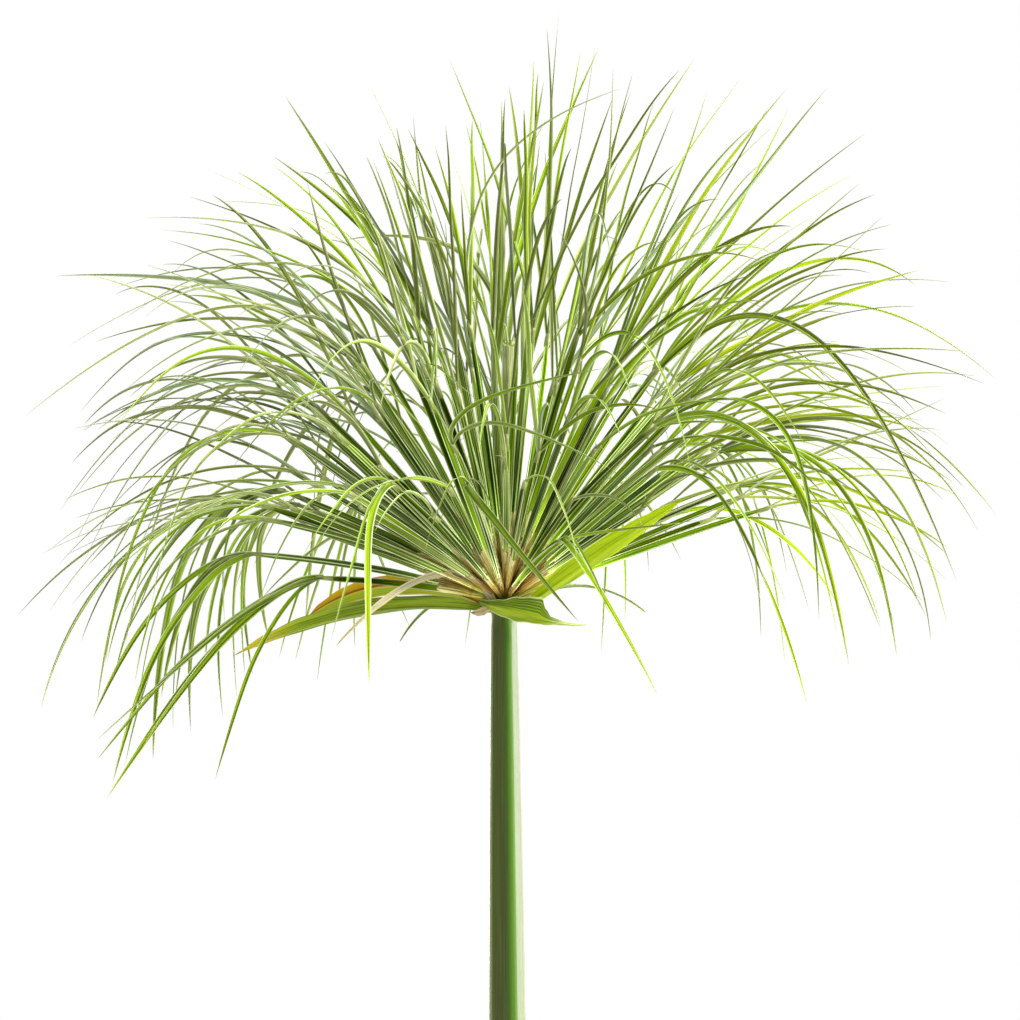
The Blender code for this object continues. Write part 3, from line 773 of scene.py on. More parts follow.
# Leaves: the name, then the colours of the green, the light, the veins, the rim, the stripe and the tip
GREEN_LEAF = BractFinish("leaf_green", (0.110, 0.200, 0.006), (0.200, 0.310, 0.010), (0.330, 0.440, 0.060),
                         (0.560, 0.620, 0.260), (0.300, 0.400, 0.050), (0.420, 0.400, 0.040))
LONG_LEAF = BractFinish("leaf_long", (0.085, 0.165, 0.004), (0.330, 0.460, 0.004), (0.430, 0.560, 0.030),
                        (0.200, 0.270, 0.060), (0.420, 0.480, 0.010), (0.520, 0.460, 0.030),
                        stripe_share=0.3, vein_share=0.4, tip_from=0.70)
AMBER_LEAF = BractFinish("leaf_amber", (0.600, 0.440, 0.008), (0.720, 0.480, 0.010), (0.760, 0.560, 0.030),
                         (0.780, 0.620, 0.100), (0.340, 0.090, 0.006), (0.640, 0.380, 0.030),
                         half=(0.280, 0.430, 0.004), half_share=1.0, half_from=0.02, vein_share=0.35,
                         stripe_share=0.9, tip_from=0.84)
# The front leaf's half colour paints shade: its upper half is dark green as the shaded side of its fold
FRONT_LEAF = BractFinish("leaf_front", (0.190, 0.330, 0.003), (0.440, 0.580, 0.006), (0.520, 0.660, 0.030),
                         (0.840, 0.880, 0.460), (0.640, 0.560, 0.006), (0.640, 0.740, 0.280),
                         half=(0.085, 0.190, 0.003), half_share=1.0, half_from=0.04, veins=21.0,
                         vein_share=0.5, stripe_share=0.30, tip_from=0.60)
BRIGHT_LEAF = BractFinish("leaf_bright", (0.340, 0.490, 0.003), (0.540, 0.660, 0.004), (0.640, 0.740, 0.016),
                          (0.680, 0.760, 0.110), (0.580, 0.680, 0.016), (0.600, 0.660, 0.005),
                          vein_share=0.5, stripe_share=0.2, tip_from=0.86, glow=0.42)
DRY_LEAF = BractFinish("leaf_dry", (0.420, 0.370, 0.180), (0.620, 0.580, 0.360), (0.760, 0.740, 0.500),
                       (0.760, 0.520, 0.050), (0.500, 0.400, 0.120), (0.720, 0.660, 0.300),
                       stripe_share=0.2, tip_from=0.85, glow=0.2)
SCALE_LEAF = BractFinish("leaf_scale", (0.370, 0.280, 0.110), (0.520, 0.440, 0.210), (0.620, 0.550, 0.290),
                         (0.580, 0.500, 0.250), (0.240, 0.140, 0.030), (0.340, 0.200, 0.070),
                         stripe_share=0.3, tip_from=0.8, glow=0.1)


# The pot and what stands in it


def pot_inner_radius(height: float) -> float:
    """The pot's inner radius at a height."""
    return mix(*POT_INSIDE, (height - POT_FLOOR) / POT_INSIDE_HEIGHT)


@dataclass
class ClayPot:
    """The turned clay pot: a tapered wall, a thick rolled rim and a flat foot."""

    height: float = 0.200
    base_radius: float = 0.076
    mouth_radius: float = 0.104
    wall: float = 0.008
    rim_height: float = 0.030
    rim_overhang: float = 0.007
    rim_round: float = 0.003
    under_rim: float = 0.002
    fillet: tuple[float, float] = (0.0010, 0.0012)
    foot_rings: tuple[float, ...] = (0.0, 0.030, 0.060)
    inside_heights: tuple[float, ...] = (0.190, 0.184, 0.178, 0.170, 0.140, 0.100, 0.060, 0.030, POT_FLOOR)
    inner_floor_ring: float = 0.040
    wall_steps: int = 34
    rim_steps: int = 7
    round_steps: int = 5
    sides: int = 144
    wobble: float = 0.00022
    steady_height: float = 0.004

    def outline(self) -> list[tuple[float, float]]:
        """The wall's (radius, height) outline, from the foot's middle up the outside and down inside.

        Returns:
            The outline's points.
        """
        slope = (self.mouth_radius - self.base_radius) / self.height
        rim_foot = self.height - self.rim_height
        rim_radius = self.mouth_radius + self.rim_overhang
        low, high = rim_foot + self.rim_round, self.height - self.rim_round
        outline = [(radius, 0.0) for radius in self.foot_rings]

        def arc(centre_radius: float, centre_height: float, start: float) -> None:
            """Add a quarter round from a start in degrees.

            Args:
                centre_radius: how far out its centre is.
                centre_height: how high its centre is.
                start: where it starts, in degrees.
            """
            for step in range(self.round_steps + 1):
                turn = math.radians(mix(start, start + 90.0, step / self.round_steps))
                across, up = polar(self.rim_round, turn)
                outline.append((centre_radius + across, centre_height + up))

        arc(self.base_radius - self.rim_round, self.rim_round, -90.0)
        heights = [mix(self.rim_round, rim_foot - self.under_rim, step / self.wall_steps)
                   for step in range(1, self.wall_steps)]
        outline += [(self.base_radius + slope * z, z) for z in heights + [rim_foot - self.fillet[1]]]
        outline.append((self.base_radius + slope * rim_foot + self.fillet[0], rim_foot))
        arc(rim_radius - self.rim_round, low, -90.0)
        outline += [(rim_radius, mix(low, high, step / self.rim_steps)) for step in range(1, self.rim_steps)]
        arc(rim_radius - self.rim_round, high, 0.0)
        arc(self.mouth_radius - self.wall + self.rim_round, high, 90.0)
        outline += [(pot_inner_radius(z), z) for z in self.inside_heights]
        return outline + [(self.inner_floor_ring, POT_FLOOR), (0.0, POT_FLOOR)]

    def build(self, clay: Material) -> Piece:
        """Turn the outline round the axis, with the small unevenness of a thrown pot.

        Args:
            clay: its material.

        Returns:
            The piece.
        """
        draft, rows = Draft(), []
        for radius, z in self.outline():
            if radius == 0.0:
                rows.append([draft.vertex(UP * z)] * self.sides)
                continue
            row = []
            for side in range(self.sides):
                away = outwards(TURN * side / self.sides)
                ripple = noise.noise(Vector((away.x * 0.6, away.y * 0.6, z * 260.0)))
                drift = noise.noise(Vector((away.x * 1.4 + 7.0, away.y * 1.4, z * 9.0)))
                stray = self.wobble * clamp(z / self.steady_height) * (ripple + 0.8 * drift)
                row.append(draft.vertex(away * (radius + stray) + UP * z))
            rows.append(row)
        draft.join(rows)
        return draft.piece("clay_pot", [clay], 50.0)


def rough_lump(chance: random.Random, unevenness: float) -> tuple[list[Vector], list[tuple[int, ...]]]:
    """A small closed lump of unit size.

    Args:
        chance: where its shape comes from.
        unevenness: how far its points stray in or out.

    Returns:
        Its points and its faces.
    """
    builder = bmesh.new()
    bmesh.ops.create_icosphere(builder, subdivisions=1, radius=1.0)
    points = [vert.co * (1.0 + chance.uniform(-unevenness, unevenness)) for vert in builder.verts]
    faces = [tuple(vert.index for vert in face.verts) for face in builder.faces]
    builder.free()
    return points, faces


@dataclass
class PottingSoil:
    """The soil: a lumpy mound in the pot, with crumbs, bark chips and white grit on it."""

    crown: float = 0.006
    edge: float = pot_inner_radius(SOIL_TOP) - GAP
    sink: float = 0.0022
    rings: int = 46
    sides: int = 132
    lump: float = 0.0016
    side_heights: tuple[float, ...] = (0.150, 0.090, 0.040)
    underside: float = 0.0105
    bit_counts: tuple[int, ...] = (620, 80, 70)
    bit_sizes: Stops = ((0.0007, 0.0023), (0.0016, 0.0032), (0.0008, 0.0016))
    bit_sides: Stops = ((0.7, 1.2), (0.7, 1.2), (0.5, 0.9))
    chip_sides: Stops = ((1.3, 2.4), (0.5, 0.9))
    chip_thickness: float = 0.28
    bits_inside: float = 0.0205
    bits_margin: float = 0.004
    crumb_unevenness: float = 0.26
    unevenness: float = 0.16
    seed: int = 11

    def surface(self, x: float, y: float) -> float:
        """The soil's height at a place.

        Args:
            x: the place's first side.
            y: its second.

        Returns:
            The height.
        """
        coarse, fine, level = (noise.noise(Vector((x * scale, y * scale, layer)))
                               for scale, layer in ((160.0, 3.0), (420.0, 8.0), (32.0, 1.0)))
        share = math.hypot(x, y) / self.edge
        mound = self.crown * (1.0 - clamp(share)) ** 0.8
        sunk = self.sink * clamp((share - 0.86) / 0.14)
        return SOIL_TOP + mound + self.lump * (0.55 * (coarse + 0.6 * fine) + 0.9 * level) - sunk

    def build(self, earth: Material) -> Piece:
        """Make the soil's body, from its lumpy top down to the pot's floor.

        Args:
            earth: its material.

        Returns:
            The piece.
        """
        levels = [(self.edge * (step / self.rings) ** 0.9, None) for step in range(1, self.rings + 1)]
        levels += [(pot_inner_radius(z) - GAP, z) for z in self.side_heights + (self.underside,)]
        draft = Draft()
        rows = [[draft.vertex(Vector((0.0, 0.0, self.surface(0.0, 0.0))))] * self.sides]
        for radius, z in levels:
            spots = [polar(radius, TURN * side / self.sides) for side in range(self.sides)]
            rows.append([draft.vertex(Vector((x, y, self.surface(x, y) if z is None else z)))
                         for x, y in spots])
        rows.append([draft.vertex(UP * self.underside)] * self.sides)
        draft.join(rows)
        return draft.piece("potting_soil", [earth], 50.0)

    def loose_bits(self, materials: Sequence[Material]) -> Piece:
        """Scatter crumbs, bark chips and grit over the soil as one piece of small closed lumps.

        Args:
            materials: one for each kind of bit.

        Returns:
            The piece.
        """
        chance, draft = random.Random(self.seed), Draft()
        outside = pot_inner_radius(SOIL_TOP) - self.bits_margin
        for kind in (kind for kind, count in enumerate(self.bit_counts) for _ in range(count)):
            radius = math.sqrt(mix(self.bits_inside ** 2, outside ** 2, chance.random()))
            x, y = polar(radius, chance.uniform(0.0, TURN))
            size = [chance.uniform(*sizes) for sizes in self.bit_sizes][kind]
            stretch = Vector([chance.uniform(*sides) for sides in self.bit_sides])
            if kind == 1:
                length, width = (chance.uniform(*sides) for sides in self.chip_sides)
                stretch = Vector((length, width, self.chip_thickness))
            spin = Quaternion(UP, chance.uniform(*ANY_TURN))
            spin = spin @ Quaternion((1.0, 0.0, 0.0), chance.uniform(-0.5, 0.5))
            centre = Vector((x, y, self.surface(x, y) + size * stretch.z * 0.35))
            points, faces = rough_lump(chance, self.unevenness if kind else self.crumb_unevenness)
            made = [draft.vertex(centre + spin @ (point * stretch) * size) for point in points]
            for corners in faces:
                draft.face((made[corner] for corner in corners), kind)
        return draft.piece("soil_crumbs", materials, 180.0)


@dataclass
class Culm:
    """The three-sided stem, from its foot in the soil to the dome that the rays grow from."""

    top_width: float = 0.0128
    swell: float = 0.0125
    swell_length: float = 0.360
    rounding: float = 0.16
    corner_reach: float = 0.403
    turn: float = math.radians(13.0)
    dome_radius: float = 0.0080
    dome_drop: float = 0.0020
    dome_tilts: tuple[float, ...] = (-22.0, -8.0, 8.0, 26.0, 44.0, 62.0, 80.0)
    stations: int = 110
    corner_points: int = 9
    face_points: int = 5
    rib: float = 0.00006

    def axis(self, height: float) -> Vector:
        """The stem's centre line."""
        share = (height - SOIL_TOP) / (CROWN.z - SOIL_TOP)
        return Vector((CROWN.x * share, CROWN.y * share, height))

    def outline(self, height: float, grow: float = 0.0) -> list[Vector]:
        """The rounded triangle at a height, as offsets from the axis.

        Args:
            height: where.
            grow: how far outside the stem's own skin.

        Returns:
            The outline's points in order, from its first corner round.
        """
        drop = max(0.0, CROWN.z - height)
        width = self.top_width + self.swell * (1.0 - math.exp(-drop / self.swell_length))
        corner_radius = self.rounding * width + grow
        reach = self.corner_reach * width
        points = []
        for corner in range(3):
            facing = math.radians(-90.0) + self.turn + corner * TURN / 3.0
            middle, ahead = outwards(facing) * reach, outwards(facing + TURN / 3.0) * reach
            for step in range(self.corner_points):
                turn = facing + math.radians(mix(-60.0, 60.0, step / (self.corner_points - 1)))
                points.append(middle + outwards(turn) * corner_radius)
            away = outwards(facing + TURN / 6.0) * corner_radius
            points += [middle.lerp(ahead, step / (self.face_points + 1)) + away
                       for step in range(1, self.face_points + 1)]
        return points

    def dome_centre(self) -> Vector:
        """The centre of the dome."""
        return CROWN - UP * self.dome_drop

    def build(self, rind: Material) -> Piece:
        """Make the stem with its fine ribs and its dome.

        Args:
            rind: its material.

        Returns:
            The piece.
        """
        neck = CROWN.z - self.dome_drop - self.dome_radius
        along = [step / self.stations for step in range(self.stations + 1)]
        rings = []
        for height in (mix(STEM_FOOT, neck, share) for share in along):
            ring = []
            for number, offset in enumerate(self.outline(height)):
                rib = self.rib * noise.noise(Vector((number * 0.9, height * 4.0, 0.0)))
                ring.append(self.axis(height) + offset + offset.normalized() * rib)
            rings.append(ring)
        outs = [offset.normalized() for offset in self.outline(CROWN.z)]
        for lean in map(math.radians, self.dome_tilts):
            rings.append([self.dome_centre() + around(out, UP, lean) * self.dome_radius for out in outs])
            along.append(1.0)
        sides = ((-1.0, self.corner_points), (0.0, 2 * self.face_points + self.corner_points),
                 (1.0, self.corner_points), (0.0, self.face_points))
        across = [side for side, count in sides for _ in range(count)]
        draft = Draft()
        draft.strand(rings, 0, along, across, tip=self.dome_centre() + UP * self.dome_radius)
        return draft.piece("culm_stem", [rind], 60.0)


@dataclass
class BasalSheath:
    """A brown leaf sheath that wraps the stem's foot, with a slanted, frayed mouth."""

    name: str
    node: str
    height: float
    inner_grow: float
    slant_turn: float
    wall: float = 0.0012
    mouth_wall: float = 0.55
    slant: float = 0.010
    stations: int = 26
    fray: float = 0.0022
    fold: float = 0.00035

    def build(self, culm: Culm, husk: Material) -> Piece:
        """Make the sheath as a thin closed sleeve round the stem.

        Args:
            culm: the stem.
            husk: its material.

        Returns:
            The piece.
        """
        shares = [step / self.stations for step in range(self.stations + 1)]
        along, rings = shares + shares[::-1], []
        for row, share in enumerate(along):
            outside = row < len(shares)
            height = mix(STEM_FOOT, SOIL_TOP + self.height, share)
            grow = self.inner_grow + (self.wall * mix(1.0, self.mouth_wall, share) if outside else 0.0)
            ring = []
            for number, offset in enumerate(culm.outline(height, grow)):
                point = culm.axis(height) + offset
                turn = math.atan2(offset.y, offset.x)
                point.z += share * share * self.slant * math.cos(turn - self.slant_turn)
                point.z += share ** 6 * self.fray * noise.noise(Vector((number * 1.7, self.slant_turn, 0.0)))
                if outside:
                    fold = noise.noise(Vector((number * 0.55, height * 30.0, self.slant_turn)))
                    point += offset.normalized() * (self.fold * clamp(0.5 + fold))
                ring.append(point)
            rings.append(ring)
        count = len(rings[0])
        draft = Draft()
        draft.strand(rings, 0, along, [4.0 * number / count for number in range(count)], ringed=True)
        return draft.piece(self.name, [husk], 60.0)


# The bracts


@dataclass
class Bract:
    """A broad leaf below the head.

    The spine's four points are (across, depth, up) in millimetres from the crown. The width is in
    millimetres, and the fold, the roll from foot to tip, and the lean are in degrees. The shape and
    the other are how wide the leaf's two halves are along its length, as shares of its width.
    """

    name: str
    spine: tuple[Spot, Spot, Spot, Spot]
    width: float
    widest: float
    fold: float
    roll: tuple[float, float]
    finish: BractFinish
    slot: Slot = Slot.BRACT
    curl: float = 0.0
    shape: Stops = ()
    other: Stops = ()
    lean: float = 0.0
    fuller: float = 1.0
    heel: Optional[Spot] = None
    solid_steps: int = 9
    steps: int = 48
    half_points: int = 7
    thickness: float = 0.00042
    rib: float = 0.00028
    pleat: float = 0.00007
    least_share: float = 0.045
    heel_share: float = 0.4
    inner_end: tuple[float, float] = (0.0055, 0.0010)

    def spine_point(self, share: float) -> Vector:
        """A point of the spine.

        Args:
            share: how far along the spine.

        Returns:
            The point.
        """
        start, leave, arrive, end = [CROWN + Vector(point) * MM for point in self.spine]
        rest = 1.0 - share
        return (start * rest ** 3 + leave * 3.0 * rest * rest * share
                + arrive * 3.0 * rest * share * share + end * share ** 3)

    def swell(self, share: float) -> float:
        """The leaf's width along its length, as a share of its widest."""
        if share < self.widest:
            return 0.55 + 0.45 * math.sin(0.5 * math.pi * share / self.widest)
        return max(0.0, math.cos(0.5 * math.pi * (share - self.widest) / (1.0 - self.widest))) ** 0.8

    def turned(self, heading: Vector, side: Vector, share: float) -> Vector:
        """The leaf's width direction after its roll."""
        return Quaternion(heading, math.radians(mix(*self.roll, share))) @ side

    def first_side(self) -> Vector:
        """The level direction square to the way the leaf starts."""
        return (Vector(self.spine[1]) - Vector(self.spine[0])).cross(UP).normalized()

    def solid_points(self) -> list[Vector]:
        """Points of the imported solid, for the rays to keep clear of.

        Returns:
            The points.
        """
        line = [self.spine_point(step / self.solid_steps) for step in range(self.solid_steps + 1)]
        side, fold, rings = self.first_side(), math.radians(self.fold), []
        for index, way in enumerate(headings(line)[:-1]):
            share = index / self.solid_steps
            swell = self.swell(share)
            side = squared(side, way)
            turned = self.turned(way, side, share)
            rise = turned.cross(way)
            half = 0.5 * self.width * MM * swell
            rib = rise * (0.5 * max(0.0005, 0.0013 * swell))
            lift, spread = rise * (half * math.sin(fold)), turned * (half * math.cos(fold))
            middle = line[index]
            rings.append([middle - spread + lift, middle - rib, middle + spread + lift, middle + rib])
        return [point for low, high in zip(rings, rings[1:])
                for point in samples(low[:3]) + [first.lerp(second, 0.5) for first, second in zip(low, high)]]

    def sheet(self, centre: Vector, turned: Vector, rise: Vector, share: float, narrowed: float,
              spots: Sequence[float]) -> list[Vector]:
        """The leaf's middle layer at one place of its length.

        Args:
            centre: the spine's point.
            turned: the direction of its width.
            rise: the direction that its halves fold to.
            share: how far along the leaf it is.
            narrowed: how narrow its heel is, as a share.
            spots: the places across it, -1 to 1.

        Returns:
            The points, one for each place.
        """
        fold = math.radians(self.fold)
        swells = [between(shape, share) if shape else self.swell(share)
                  for shape in (self.shape, self.other or self.shape)]
        points = []
        for spot in spots:
            half = 0.5 * self.width * self.fuller * MM * max(swells[0 if spot > 0.0 else 1], self.least_share)
            half *= narrowed
            opened = fold * (1.0 - 0.45 * abs(spot)) - self.curl * share * abs(spot)
            reach = half * spot
            lift = abs(reach) * math.sin(opened)
            ripple = 0.055 * half * math.sin(share * 21.0 + 2.0 * spot) * spot * spot
            pleat = self.pleat * math.cos(spot * 22.0)
            points.append(centre + turned * (reach * math.cos(opened)) + rise * (lift + ripple + pleat))
        return points

    def build(self) -> Piece:
        """Make the leaf: a thin folded sheet with pleats, a wavy rim and a drawn-out tip.

        Returns:
            The piece.
        """
        line = [self.spine_point(step / self.steps) for step in range(self.steps + 1)]
        inwards = Vector((CROWN.x - line[0].x, CROWN.y - line[0].y, 0.0)).normalized()
        run, drop = self.inner_end
        line.insert(0, line[0] + (Vector(self.heel) * MM if self.heel else inwards * run - UP * drop))
        side, rings, along = self.first_side(), [], []
        spots = [step / self.half_points for step in range(-self.half_points, self.half_points + 1)]
        for index, way in enumerate(headings(line)[:-1]):
            share = max(0, index - 1) / self.steps
            side = squared(side, way)
            turned = Quaternion(way, math.radians(self.lean)) @ self.turned(way, side, share)
            rise = turned.cross(way)
            narrowed = self.heel_share if self.heel and index == 0 else 1.0
            sheet = self.sheet(line[index], turned, rise, share, narrowed, spots)
            thick = [rise * (0.5 * self.thickness * (1.0 - 0.8 * abs(spot))
                             + self.rib * max(0.0, 1.0 - 5.0 * abs(spot))) for spot in spots]
            over = [point + grow for point, grow in zip(sheet, thick)]
            under = [point - grow for point, grow in zip(sheet, thick)][1:-1]
            rings.append(over + under[::-1])
            along.append(share)
        draft = Draft()
        draft.strand(rings, 0, along, spots + spots[1:-1][::-1], tip=line[-1])
        return draft.piece(self.name + "_leaf", [self.finish.material()], 70.0)


# How wide the halves of some leaves are along their length
FRONT_UPPER = ((0.0, 0.26), (0.14, 0.48), (0.30, 0.88), (0.44, 1.20), (0.53, 1.26), (0.585, 0.66),
               (0.66, 0.24), (0.82, 0.09), (1.0, 0.03))
FRONT_LOWER = ((0.0, 0.56), (0.14, 0.86), (0.30, 0.90), (0.46, 0.72), (0.60, 0.50), (0.72, 0.28),
               (0.85, 0.14), (1.0, 0.03))
AMBER_UPPER = ((0.0, 0.44), (0.15, 0.56), (0.30, 0.64), (0.45, 0.68), (0.60, 0.68), (0.75, 0.56),
               (0.90, 0.32), (1.0, 0.0))
AMBER_LOWER = ((0.0, 0.55), (0.15, 0.78), (0.30, 0.94), (0.45, 1.0), (0.60, 0.93), (0.75, 0.71),
               (0.90, 0.37), (1.0, 0.0))
RIGHT_UPPER = ((0.0, 0.28), (0.15, 0.54), (0.35, 0.82), (0.55, 0.82), (0.72, 0.62), (0.88, 0.30), (1.0, 0.0))
RIGHT_LOWER = ((0.0, 0.26), (0.15, 0.48), (0.35, 0.62), (0.55, 0.60), (0.72, 0.48), (0.88, 0.25), (1.0, 0.0))
LEFT_UPPER = ((0.0, 0.55), (0.13, 0.77), (0.26, 0.93), (0.40, 1.0), (0.55, 0.94), (0.70, 0.77), (0.85, 0.47),
              (1.0, 0.0))
LEFT_LOWER = ((0.0, 0.50), (0.13, 0.60), (0.40, 0.66), (0.55, 0.66), (0.70, 0.58), (0.85, 0.40), (1.0, 0.0))
DRY_SHAPE = ((0.0, 0.75), (0.22, 1.0), (0.45, 0.72), (0.75, 0.60), (1.0, 0.12))
BACK_SHAPE = ((0.0, 0.80), (0.30, 1.0), (0.50, 0.55), (0.62, 0.26), (0.85, 0.16), (1.0, 0.05))

BRACTS = (
    Bract("bract_left", ((-11, -3, -6), (-48, -12, 0), (-96, -22, -8), (-134, -28, -28)),
          14.0, 0.40, 40.0, (35.0, 60.0), LONG_LEAF, shape=LEFT_LOWER, other=LEFT_UPPER),
    Bract("bract_left_upper", ((-10, 4, -4), (-42, 14, 12), (-76, 24, 9), (-101, 30, -11)),
          11.0, 0.45, 36.0, (20.0, 45.0), AMBER_LEAF, shape=AMBER_LOWER, other=AMBER_UPPER, lean=34.0,
          fuller=1.35),
    Bract("bract_front", ((-8, -12, -3), (6, -19, -5), (22, -21, -13), (41, -17, -13)),
          17.0, 0.30, 26.0, (-60.0, -62.0), FRONT_LEAF, shape=FRONT_UPPER, other=FRONT_LOWER,
          heel=(-5.0, 5.0, 1.5)),
    Bract("bract_right", ((9, -5, -5), (32, -22, 12), (58, -34, 30), (88, -42, 50)),
          12.0, 0.50, 30.0, (-30.0, -60.0), BRIGHT_LEAF, shape=RIGHT_UPPER, other=RIGHT_LOWER, fuller=1.40),
    Bract("bract_dry", ((-6, -9, -2), (-16, -17, 22), (-48, -34, 18), (-82, -50, -22)),
          6.5, 0.35, 20.0, (10.0, 70.0), DRY_LEAF, Slot.DRY_BRACT, 0.5, DRY_SHAPE),
    Bract("bract_back_left", ((-5, 10, -6), (-22, 38, 4), (-40, 70, 0), (-56, 98, -26)),
          13.0, 0.42, 34.0, (0.0, 0.0), GREEN_LEAF, shape=BACK_SHAPE),
    Bract("bract_back_right", ((6, 10, -6), (24, 34, 8), (50, 62, 10), (74, 86, -10)),
          12.0, 0.42, 34.0, (0.0, 0.0), GREEN_LEAF, shape=BACK_SHAPE),
)

# Small dry scales that sit close under the head
SCALES = (
    Bract("crown_scale_1", ((-6, -6, -4), (-9, -9, -6), (-13, -9, -8), (-17, -8, -7)),
          5.6, 0.45, 12.0, (60.0, 70.0), SCALE_LEAF, Slot.DRY_BRACT),
    Bract("crown_scale_2", ((7, 6, -5), (11, 9, -5), (15, 12, -3), (19, 15, 2)),
          6.0, 0.40, 24.0, (0.0, 10.0), SCALE_LEAF, Slot.DRY_BRACT),
    Bract("crown_scale_3", ((-3, 9, -5), (-4, 14, -5), (-6, 18, -2), (-8, 22, 3)),
          6.0, 0.40, 24.0, (0.0, 10.0), SCALE_LEAF, Slot.DRY_BRACT),
)


# The rays of the head


@dataclass(frozen=True)
class Ray:
    """A ray: where its fork is seen, how far back it lies, its leaflets, and further drooping ones.

    A leaflet is (across, up, arch, width): its tip as seen, how far it runs on along the ray before
    it bends over, as a share of its span, and the width in millimetres that its fold leaves to be seen.
    """

    fork: tuple[float, float]
    depth: float
    leaflets: tuple[Leaflet, ...]
    droops: tuple[Leaflet, ...] = ()


